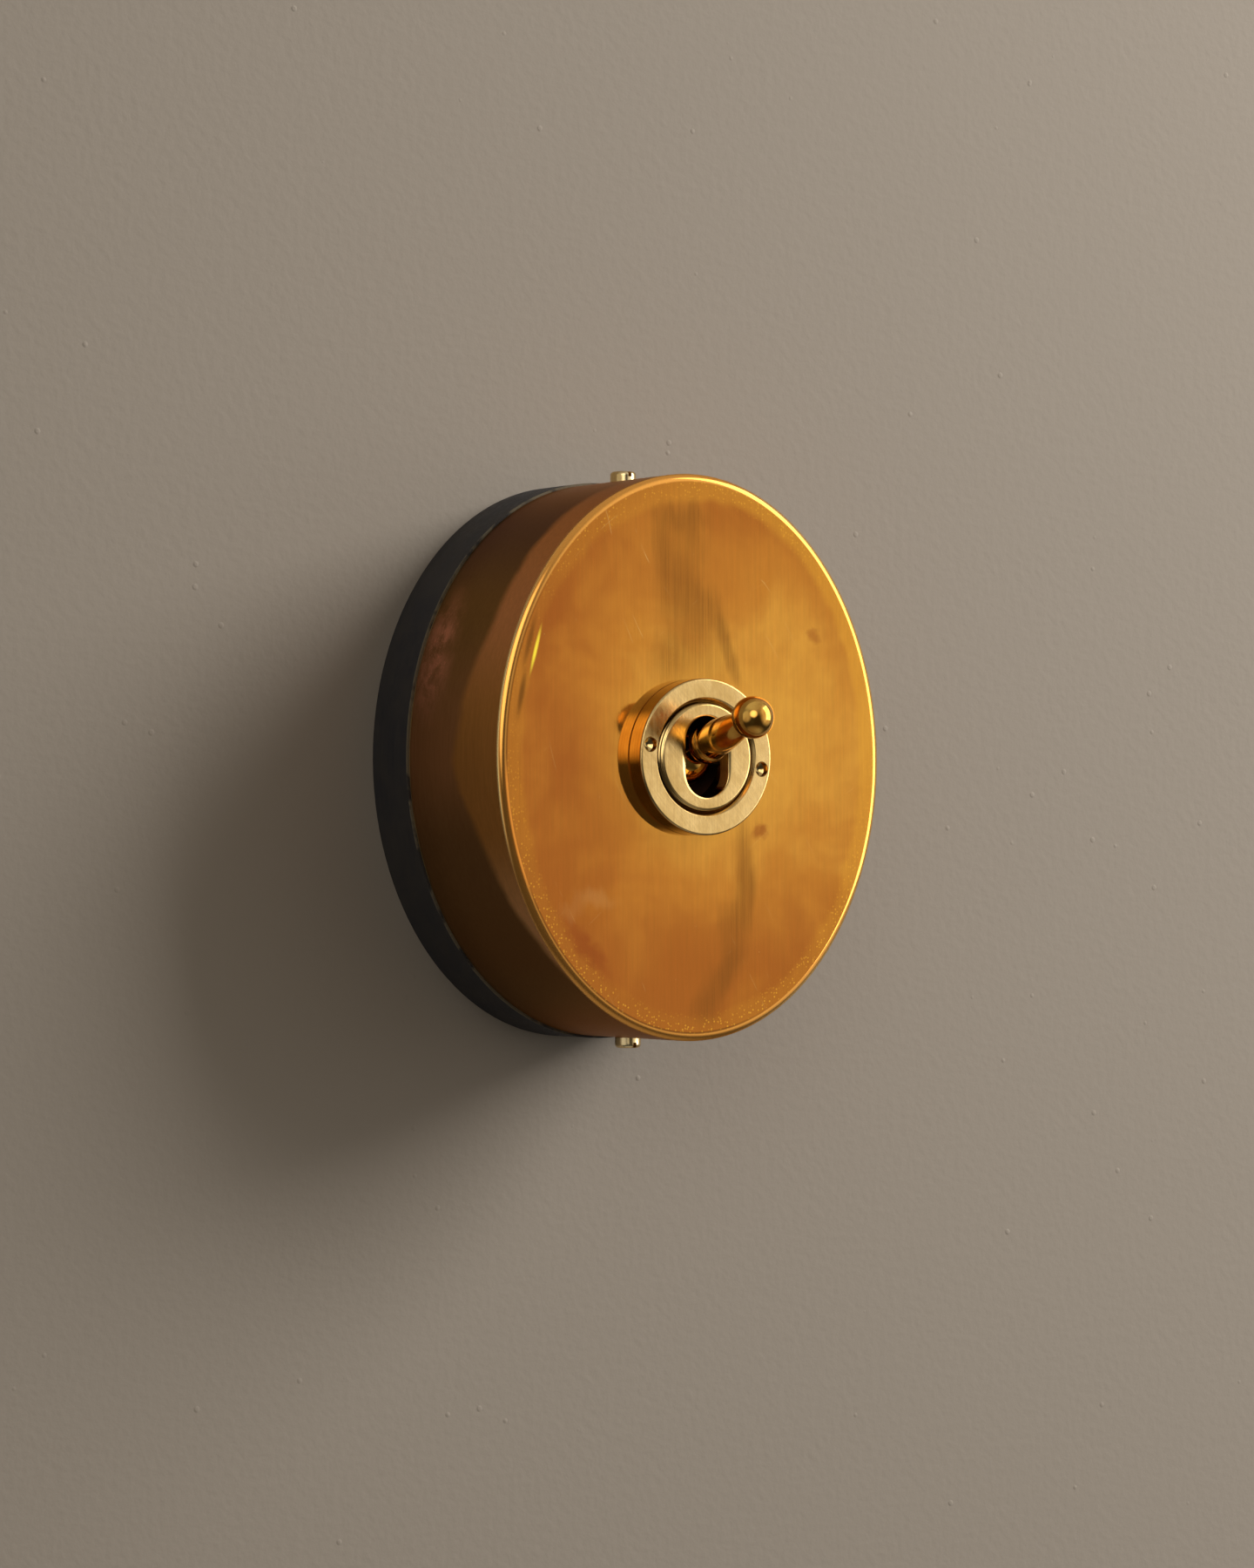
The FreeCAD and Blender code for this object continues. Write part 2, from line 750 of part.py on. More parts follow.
def make_switch_housing():
    """A moulded block with a bore for the pivot ball and a cavity for the rocker."""
    body = new_body("switch_housing")
    outline = facing(body, back_front)
    draw_rounded_rectangle(outline, size.housing_width, size.housing_height, size.housing_corner_radius)
    pad(body, outline, pivot_depth - back_front)
    cavity = facing(body, back_front)
    across = size.cavity_width / 2
    up = size.cavity_height / 2
    draw_rectangle(cavity, -across, across, -up, up)
    cut(body, cavity, pivot_depth - back_front - size.housing_web, forward=True)
    bore = facing(body, pivot_depth)
    draw_circle(bore, 0, 0, size.bush_bore_radius)
    cut(body, bore, size.pivot_ball_radius + size.pivot_ball_clearance)
    cut_pin_groove(body)
    cut_housing_screw_holes(body)
    return body


def cut_housing_screw_holes(body):
    holes = facing(body)
    for side in BOTH_SIDES:
        draw_circle(holes, housing_screw_offset * side, 0, housing_screw_hole_radius)
    cut(body, holes, symmetric=True)


def draw_stem(sketch, height, gap):
    """The terminal's neck where it passes through the back plate, centred at a height."""
    across = size.stem_width / 2 + gap
    half = size.stem_thickness / 2 + gap
    draw_rectangle(sketch, -across, across, height - half, height + half)


def make_housing_back():
    """A plate that closes the housing, with a slot for each terminal."""
    body = new_body("housing_back")
    outline = facing(body, back_rear)
    draw_rounded_rectangle(outline, size.housing_width, size.housing_height, size.housing_corner_radius)
    pad(body, outline, size.back_thickness)
    slots = facing(body, back_front)
    for height in (size.stem_offset, as_size(0), -size.stem_offset):
        draw_stem(slots, height, size.stem_clearance)
    cut(body, slots)
    cut_housing_screw_holes(body)
    return body


def make_housing_screws():
    length = flange_front - size.housing_screw_tip_gap - back_rear
    screws = []
    for side in BOTH_SIDES:
        screw = make_slotted_screw("housing_screw", "housing_screw", length)
        place(screw, housing_screw_offset * side, back_rear, 0, angle=HALF_TURN)
        screws.append(screw)
    return group("housing_screws", screws)


def make_rocker():
    """A dished strip with flat arms and a lug for its fulcrum pin, tilted to the lever's upper position."""
    body = new_body("rocker")
    outer_radius = dish_radius + size.rocker_thickness
    front_edge = dish_radius * sine(size.rocker_dish_angle)
    back_edge = leg(outer_radius, dish_centre - arm_back)
    strip = section(body)
    draw_outline(strip, [
        (-arm_front, -size.rocker_arm),
        (-arm_front, -front_edge),
        (-arm_front, front_edge, dish_radius, 1),
        (-arm_front, size.rocker_arm),
        (-arm_back, size.rocker_arm),
        (-arm_back, back_edge),
        (-arm_back, -back_edge, outer_radius, -1),
        (-arm_back, -size.rocker_arm),
    ])
    pad(body, strip, size.rocker_width, symmetric=True)
    lug = section(body)
    lug_root = size.fulcrum_drop + size.rocker_thickness / 2
    radius = size.rocker_lug_radius
    draw_outline(lug, [
        (-lug_root, -radius),
        (0, -radius),
        (radius, 0, radius, 1),
        (0, radius, radius, 1),
        (-lug_root, radius),
    ])
    pad(body, lug, size.rocker_lug_width, symmetric=True)
    pin_hole = section(body)
    draw_circle(pin_hole, 0, 0, size.rocker_pin_radius + size.rocker_pin_clearance)
    cut(body, pin_hole, symmetric=True)
    rivet_holes = facing(body)
    for side in BOTH_SIDES:
        draw_circle(rivet_holes, 0, size.contact_offset * side, size.contact_shank_radius)
    cut(body, rivet_holes, symmetric=True)
    place(body, 0, fulcrum_depth, 0, angle=size.rocker_tilt)
    return body


def make_rivet(label, head_height, shank_length):
    """A contact rivet along -Y with its head's seat at the origin."""
    body = new_body(label)
    turn(body, [
        (0, -shank_length),
        (size.contact_shank_radius, -shank_length),
        (size.contact_shank_radius, as_size(0)),
        (size.contact_radius, as_size(0)),
        (size.contact_radius, head_height),
        (0, head_height),
    ])
    return body


def make_rocker_contacts():
    rivets = []
    for side in BOTH_SIDES:
        rivet = make_rivet("rocker_contact", size.moving_contact_head, size.rocker_thickness)
        height = size.contact_offset * side
        depth = fulcrum_depth + arm_back * tilt_cosine + height * tilt_sine
        up = height * tilt_cosine - arm_back * tilt_sine
        place(rivet, 0, depth, up, angle=size.rocker_tilt + HALF_TURN)
        rivets.append(rivet)
    return group("rocker_contacts", rivets)


def make_fixed_contacts():
    rivets = []
    for side in BOTH_SIDES:
        rivet = make_rivet("fixed_contact", size.fixed_contact_head, size.strip_thickness)
        place(rivet, 0, strip_front, fixed_contact_height * side)
        rivets.append(rivet)
    return group("fixed_contacts", rivets)


def add_terminal_block(body, height):
    """The stem through the back plate and the block behind it, with a wire hole and a screw hole."""
    stem = facing(body, back_rear)
    draw_stem(stem, height, as_size(0))
    pad(body, stem, size.back_thickness)
    block = facing(body, block_rear)
    across = size.block_width / 2
    half = size.block_height / 2
    draw_rectangle(block, -across, across, height - half, height + half)
    pad(body, block, size.block_depth)
    wire_hole = section(body)
    draw_circle(wire_hole, size.block_depth / 2 - back_rear, height, size.wire_hole_radius)
    cut(body, wire_hole, symmetric=True)
    screw_hole = facing(body, block_rear)
    draw_circle(screw_hole, 0, height, size.terminal_screw_radius + size.thread_clearance)
    cut(body, screw_hole, size.block_depth / 2, forward=True)


def make_common_terminal():
    """A cradle with two ears for the rocker's pin, on a terminal block."""
    body = new_body("common_terminal")
    cradle = plan(body)
    ear_inside = ear_reach - size.cradle_ear_thickness
    ear_front = fulcrum_depth + size.cradle_ear_radius
    seat = back_front + size.cradle_thickness
    draw_outline(cradle, [
        (-ear_reach, -back_front),
        (-ear_reach, -ear_front),
        (-ear_inside, -ear_front),
        (-ear_inside, -seat),
        (ear_inside, -seat),
        (ear_inside, -ear_front),
        (ear_reach, -ear_front),
        (ear_reach, -back_front),
    ])
    pad(body, cradle, size.stem_thickness, symmetric=True)
    pin_hole = section(body)
    draw_circle(pin_hole, -fulcrum_depth, 0, size.rocker_pin_radius)
    cut(body, pin_hole, symmetric=True)
    add_terminal_block(body, as_size(0))
    return body


def make_fixed_terminal(label, side):
    """A contact strip on the back plate's front, on a terminal block."""
    body = new_body(label)
    strip = facing(body, back_front)
    across = size.strip_width / 2
    inner_end = fixed_contact_height - size.strip_overhang
    outer_end = size.stem_offset + size.stem_thickness / 2
    draw_rectangle(strip, -across, across, inner_end * side, outer_end * side)
    pad(body, strip, size.strip_thickness)
    rivet_hole = facing(body, strip_front)
    draw_circle(rivet_hole, 0, fixed_contact_height * side, size.contact_shank_radius)
    cut(body, rivet_hole, size.strip_thickness)
    add_terminal_block(body, size.stem_offset * side)
    return body


def make_terminal_screws():
    screws = []
    for height in (size.stem_offset, as_size(0), -size.stem_offset):
        screw = make_slotted_screw("terminal_screw", "terminal_screw", size.terminal_screw_length)
        place(screw, 0, block_rear, height, angle=HALF_TURN)
        screws.append(screw)
    return group("terminal_screws", screws)


def make_earth_tag():
    """A ring under the bush's flange with a tail bent back for the earth wire."""
    body = new_body("earth_tag")
    ring = facing(body, flange_front)
    draw_circle(ring, 0, 0, size.tag_radius)
    draw_circle(ring, 0, 0, size.thread_radius + size.cover_hole_clearance)
    pad(body, ring, size.tag_thickness)
    tail = plan(body)
    root_end = (size.thread_radius + size.tag_radius) / 2
    inner_reach = size.tag_tail_reach - size.tag_thickness
    tail_end = cover_inside - size.tag_tail_drop
    draw_outline(tail, [
        (-root_end, -cover_inside),
        (-size.tag_tail_reach, -cover_inside),
        (-size.tag_tail_reach, -tail_end),
        (-inner_reach, -tail_end),
        (-inner_reach, -flange_front),
        (-root_end, -flange_front),
    ])
    pad(body, tail, size.tag_tail_width, symmetric=True)
    screw_hole = section(body)
    draw_circle(screw_hole, -tag_hole_depth, 0, earth_hole_radius)
    cut(body, screw_hole, symmetric=True)
    return body


def make_earth_screw():
    body = make_slotted_screw("earth_screw", "earth_screw", size.earth_screw_length)
    place(body, -size.tag_tail_reach, tag_hole_depth, 0, axis="0; 0; 1", angle=-QUARTER_TURN)
    return body


def make_earth_nut():
    """A hexagon nut on the inner side of the tag's tail."""
    body = new_body("earth_nut")
    outline = new_sketch(body, "YZ_Plane", size.tag_thickness - size.tag_tail_reach)
    corners = []
    for index in range(HEX_SIDES):
        angle = as_size((index + 0.5) * FULL_TURN / HEX_SIDES)
        across = size.earth_nut_radius * cosine(angle) - tag_hole_depth
        corners.append((across, size.earth_nut_radius * sine(angle)))
    draw_outline(outline, corners)
    draw_circle(outline, -tag_hole_depth, 0, earth_hole_radius)
    pad(body, outline, size.earth_nut_thickness)
    return body


pieces = [
    make_cover(),
    make_base_box(),
    make_cover_screws(),
    make_thread_inserts(),
    make_lock_ring(),
    make_threaded_bush(),
    make_dolly_lever(),
    make_cross_pin("pivot_pin", size.pivot_pin_radius, pivot_pin_length, pivot_depth),
    make_plunger(),
    make_plunger_spring(),
    make_switch_housing(),
    make_housing_back(),
    make_housing_screws(),
    make_rocker(),
    make_rocker_contacts(),
    make_cross_pin("rocker_pin", size.rocker_pin_radius, ear_reach * 2, fulcrum_depth),
    make_common_terminal(),
    make_fixed_terminal("upper_terminal", 1),
    make_fixed_terminal("lower_terminal", -1),
    make_fixed_contacts(),
    make_terminal_screws(),
    make_earth_tag(),
    make_earth_screw(),
    make_earth_nut(),
]
doc.recompute()

for item in doc.Objects:
    if "Invalid" in item.State or "Error" in item.State:
        raise RuntimeError(f"{item.Label} failed: {item.State}")
for piece in pieces:
    if piece.Shape.isNull() or not piece.Shape.isValid():
        raise RuntimeError(f"{piece.Label} has no valid shape")

os.makedirs("parts", exist_ok=True)
for piece in pieces:
    piece.Shape.exportStep(f"parts/{piece.Label}.step")
    print(f"{piece.Label}: {len(piece.Shape.Solids)} solids, {piece.Shape.Volume:.1f} mm3")
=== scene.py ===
import math

import bmesh
import bpy
import numpy as np
from mathutils import Matrix, Vector


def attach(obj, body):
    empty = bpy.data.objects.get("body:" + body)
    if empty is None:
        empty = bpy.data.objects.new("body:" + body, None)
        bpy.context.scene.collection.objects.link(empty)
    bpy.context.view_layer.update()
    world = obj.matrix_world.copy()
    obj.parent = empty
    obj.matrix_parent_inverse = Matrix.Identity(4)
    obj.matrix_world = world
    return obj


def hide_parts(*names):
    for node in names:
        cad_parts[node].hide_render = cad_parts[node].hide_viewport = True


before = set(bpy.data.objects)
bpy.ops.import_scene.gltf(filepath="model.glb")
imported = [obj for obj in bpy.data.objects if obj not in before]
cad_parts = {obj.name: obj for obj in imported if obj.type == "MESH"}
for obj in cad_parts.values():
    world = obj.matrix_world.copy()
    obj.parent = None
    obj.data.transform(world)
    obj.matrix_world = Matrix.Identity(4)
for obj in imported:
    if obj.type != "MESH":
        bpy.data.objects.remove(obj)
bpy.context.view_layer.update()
scene = bpy.context.scene
scene.view_settings.view_transform = "Standard"
mm = 0.001
fullTurn = 2 * np.pi
print("frame loaded:", len(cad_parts), "nodes")


# cell (i, j) of a grid joins point (i, j) to (i, j+1), (i+1, j+1) and (i+1, j)
def gridFaces(rows, columns, first):
    i, j = np.meshgrid(np.arange(rows - 1), np.arange(columns - 1), indexing="ij")
    corner = first + i * columns + j
    return np.stack([corner, corner + 1, corner + columns + 1, corner + columns], -1).reshape(-1, 4)


# patches are rows x columns x 3 arrays in mm; shared borders and poles are merged, then faces turned outwards
def buildPiece(name, patches, body, node, slotName, sharpAngle=40):
    firsts = np.cumsum([0] + [patch.shape[0] * patch.shape[1] for patch in patches])
    points = np.concatenate([patch.reshape(-1, 3) for patch in patches]) * mm
    faces = np.concatenate([gridFaces(*patch.shape[:2], first) for patch, first in zip(patches, firsts)])
    mesh = bpy.data.meshes.new(name)
    mesh.from_pydata(points.tolist(), [], faces.tolist())
    work = bmesh.new()
    work.from_mesh(mesh)
    bmesh.ops.remove_doubles(work, verts=work.verts, dist=2e-6)
    bmesh.ops.recalc_face_normals(work, faces=work.faces)
    openEdges = sum(not edge.is_manifold for edge in work.edges)
    work.to_mesh(mesh)
    work.free()
    mesh.shade_smooth()
    mesh.set_sharp_from_angle(angle=math.radians(sharpAngle))
    piece = bpy.data.objects.new(name, mesh)
    scene.collection.objects.link(piece)
    mesh.materials.append(materials[slotName])
    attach(piece, body)
    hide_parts(node)
    print(name, len(mesh.polygons), "faces, open edges", openEdges)
    return piece


# a corner (across, depth, radius) becomes an arc tangent to both runs: it leaves the run radius * tan(half the
# turn) before the corner and swings evenly about its centre; a point stands "ease" outside each end of the arc
def roundedProfile(corners, steps=7, ease=0.04):
    corners = np.asarray(corners, float)
    spot, radius = corners[:, :2], corners[1:-1, 2:]
    way = np.diff(spot, axis=0)
    way /= np.linalg.norm(way, axis=1, keepdims=True)
    into, out = way[:-1], way[1:]
    turn = np.arctan2(into[:, 0] * out[:, 1] - into[:, 1] * out[:, 0], (into * out).sum(1))[:, None]
    start = spot[1:-1] - into * radius * np.tan(abs(turn) / 2)
    centre = start + into[:, ::-1] * [-1, 1] * np.sign(turn) * radius
    arm, angle = start - centre, turn * np.linspace(0, 1, steps)
    swing = np.stack([arm[:, :1] * np.cos(angle) - arm[:, 1:] * np.sin(angle),
                      arm[:, :1] * np.sin(angle) + arm[:, 1:] * np.cos(angle)], -1) + centre[:, None]
    rows = np.concatenate([(start - into * ease)[:, None], swing, (swing[:, -1] + out * ease)[:, None]], 1)
    return np.concatenate([spot[:1], rows.reshape(-1, 2), spot[-1:]])


# a profile point (radius, depth) goes round the Y axis: x = radius cos a, y = -depth, z = radius sin a
def turned(profile, angles):
    radius, depth = profile[:, 0], profile[:, 1]
    return np.stack([np.outer(np.cos(angles), radius),
                     np.broadcast_to(-depth, (len(angles), len(depth))),
                     np.outer(np.sin(angles), radius)], -1)


# an outward arc of a given radius from one profile point to the next, about a centre below the chord
def bulge(start, end, radius, steps):
    start, end = np.asarray(start, float), np.asarray(end, float)
    chord = end - start
    length = np.linalg.norm(chord)
    inward = np.array([chord[1], -chord[0]]) / length
    inward *= np.sign(-inward[0]) if abs(inward[0]) > 1e-9 else 1
    centre = (start + end) / 2 + inward * math.sqrt(radius ** 2 - length ** 2 / 4)
    first, last = start - centre, end - centre
    swing = math.atan2(first[0] * last[1] - first[1] * last[0], first @ last) * np.linspace(0, 1, steps)
    return centre + np.stack([first[0] * np.cos(swing) - first[1] * np.sin(swing),
                              first[0] * np.sin(swing) + first[1] * np.cos(swing)], -1)


# the closed run of grid points round a window, once round from its first corner
def windowLoop(window):
    return np.concatenate([window[0, :-1], window[:-1, -1], window[-1, :0:-1], window[::-1, 0]])


# shader tools

def place(tree, kind, inputs=None, **settings):
    made = tree.nodes.new(kind)
    for key, value in settings.items():
        setattr(made, key, value)
    for key, value in (inputs or {}).items():
        if isinstance(value, bpy.types.NodeSocket):
            tree.links.new(value, made.inputs[key])
        else:
            made.inputs[key].default_value = value
    return made


def calc(tree, operation, first, second=0.0, third=0.0, clamp=False):
    return place(tree, "ShaderNodeMath", {0: first, 1: second, 2: third}, operation=operation,
                 use_clamp=clamp).outputs[0]


def times(tree, first, *others):
    for other in others:
        first = calc(tree, "MULTIPLY", first, other)
    return first


def calcVector(tree, operation, *inputs, output="Vector"):
    return place(tree, "ShaderNodeVectorMath", dict(enumerate(inputs)), operation=operation).outputs[output]


def noise(tree, spot, scale, detail, output=0, **more):
    inputs = {"Vector": spot, "Scale": scale, "Detail": detail, **more}
    return place(tree, "ShaderNodeTexNoise", inputs).outputs[output]


# a value's step from one level to another, smooth unless another shape is asked for
def ramp(tree, value, low, high, outLow=0.0, outHigh=1.0, shape="SMOOTHSTEP"):
    return place(tree, "ShaderNodeMapRange", {"Value": value, "From Min": low, "From Max": high,
                 "To Min": outLow, "To Max": outHigh}, interpolation_type=shape).outputs[0]


def tint(tree, factor, first, second):
    return place(tree, "ShaderNodeMix", {0: factor, 6: first, 7: second}, data_type="RGBA").outputs[2]


# a paint over a colour, as strong as the product of its masks
def layOver(tree, colour, paint, *masks):
    return tint(tree, times(tree, *masks), colour, paint)


def rgb(red, green, blue):  # a screen colour of 0-255 as the shader's linear colour
    value = np.array([red, green, blue]) / 255
    return (*np.where(value <= 0.04045, value / 12.92, ((value + 0.055) / 1.055) ** 2.4), 1.0)


# a node group that makes a mask from a place and its own settings
def effectGroup(name, **inputs):
    group = bpy.data.node_groups.new(name, "ShaderNodeTree")
    for label, value in {"Place": (0, 0, 0), **inputs}.items():
        kind = "NodeSocketVector" if isinstance(value, tuple) else "NodeSocketFloat"
        group.interface.new_socket(name=label, in_out="INPUT", socket_type=kind).default_value = value
    group.interface.new_socket(name="Mask", in_out="OUTPUT", socket_type="NodeSocketFloat")
    return group, group.nodes.new("NodeGroupInput").outputs, group.nodes.new("NodeGroupOutput").inputs


# brush marks: noise squeezed across the stroke and drawn out along it, fine marks over broad ones
def brushGroup():
    group, given, out = effectGroup("brushMarks", Stretch=(8, 8, 0.2), Contrast=0.5)
    squeezed = calcVector(group, "MULTIPLY", given["Place"], given["Stretch"])
    broad = noise(group, squeezed, 0.33, 2.0)
    fine = noise(group, squeezed, 1.0, 3.0, Roughness=0.7)
    both = calc(group, "MULTIPLY_ADD", broad, 0.5, times(group, fine, 0.5))
    low = calc(group, "MULTIPLY_ADD", given["Contrast"], -0.4, 0.5)
    high = calc(group, "MULTIPLY_ADD", given["Contrast"], 0.4, 0.5)
    group.links.new(ramp(group, both, low, high, shape="LINEAR"), out["Mask"])
    return group


# stray scratches: the thin contour of a drawn-out noise, kept only where a second noise is high
def scratchGroup():
    group, given, out = effectGroup("strayScratches", Turn=0.3, Size=0.25, Width=0.01, Sparse=0.55)
    swung = place(group, "ShaderNodeVectorRotate", {"Vector": given["Place"], "Angle": given["Turn"]},
                  rotation_type="Y_AXIS").outputs[0]
    drawn = calcVector(group, "MULTIPLY", swung, (1.0, 1.0, 0.12))
    wave = noise(group, drawn, given["Size"], 1.0)
    away = calc(group, "ABSOLUTE", calc(group, "SUBTRACT", wave, 0.5))
    line = ramp(group, away, 0.0, given["Width"], 1.0, 0.0, shape="LINEAR")
    keep = noise(group, given["Place"], 0.16, 2.0)
    patch = ramp(group, keep, given["Sparse"], calc(group, "ADD", given["Sparse"], 0.08), shape="LINEAR")
    group.links.new(times(group, line, patch), out["Mask"])
    return group


# cloudy tone: layered noise spread to the full range
def cloudGroup():
    group, given, out = effectGroup("cloudyTone", Size=0.06, Detail=4.0)
    grey = noise(group, given["Place"], given["Size"], given["Detail"], Roughness=0.6, Distortion=0.4)
    group.links.new(ramp(group, grey, 0.3, 0.7), out["Mask"])
    return group


# specks: cells whose own random number is low show a small round grain
def speckGroup():
    group, given, out = effectGroup("specks", Size=1.0, Share=0.3, Radius=0.4)
    cells = place(group, "ShaderNodeTexVoronoi", {"Vector": given["Place"], "Scale": given["Size"]})
    chance = place(group, "ShaderNodeSeparateColor", {0: cells.outputs["Color"]}).outputs[0]
    chosen = calc(group, "LESS_THAN", chance, given["Share"])
    grain = ramp(group, cells.outputs["Distance"], given["Radius"], times(group, given["Radius"], 0.4))
    group.links.new(times(group, grain, chosen), out["Mask"])
    return group


# stain: a soft oval that leans sideways with height, one at its middle and nought at its rim
def stainGroup():
    group, given, out = effectGroup("stainSpot", Middle=(0, 0, 0), Half=(2, 1, 4), Lean=0.0)
    away = calcVector(group, "SUBTRACT", given["Place"], given["Middle"])
    axes = place(group, "ShaderNodeSeparateXYZ", {0: away}).outputs
    slid = calc(group, "SUBTRACT", axes[0], times(group, axes[2], given["Lean"]))
    flat = place(group, "ShaderNodeCombineXYZ", {0: slid, 2: axes[2]}).outputs[0]
    far = calcVector(group, "LENGTH", calcVector(group, "DIVIDE", flat, given["Half"]), output="Value")
    group.links.new(ramp(group, far, 1.25, 0.2), out["Mask"])
    return group


effects = {"brush": brushGroup(), "scratch": scratchGroup(), "cloud": cloudGroup(), "speck": speckGroup(),
           "stain": stainGroup()}


def effect(tree, kind, **inputs):
    return place(tree, "ShaderNodeGroup", inputs, node_tree=effects[kind]).outputs["Mask"]


# a place that wanders: noise moves it by up to half the sway either way
def wander(tree, spot, squeeze, detail, sway):
    drift = noise(tree, calcVector(tree, "MULTIPLY", spot, squeeze), 1.0, detail, "Color")
    moved = calcVector(tree, "MULTIPLY_ADD", drift, sway, spot)
    return calcVector(tree, "SUBTRACT", moved, [part / 2 for part in sway])


# a new material with its shader and its place on the object in millimetres
def startMaterial(name, metallic, roughness):
    material = bpy.data.materials.new(name)
    material.use_nodes = True
    tree = material.node_tree
    shader = tree.nodes["Principled BSDF"]
    shader.inputs["Metallic"].default_value = metallic
    shader.inputs["Roughness"].default_value = roughness
    spot = place(tree, "ShaderNodeTexCoord").outputs["Object"]
    inMm = place(tree, "ShaderNodeVectorMath", {0: spot, 3: 1000.0}, operation="SCALE").outputs[0]
    return material, tree, shader, inMm


def bumpOn(tree, shader, height, strength, distance):
    made = place(tree, "ShaderNodeBump", {"Height": height, "Strength": strength, "Distance": distance * mm})
    tree.links.new(made.outputs[0], shader.inputs["Normal"])


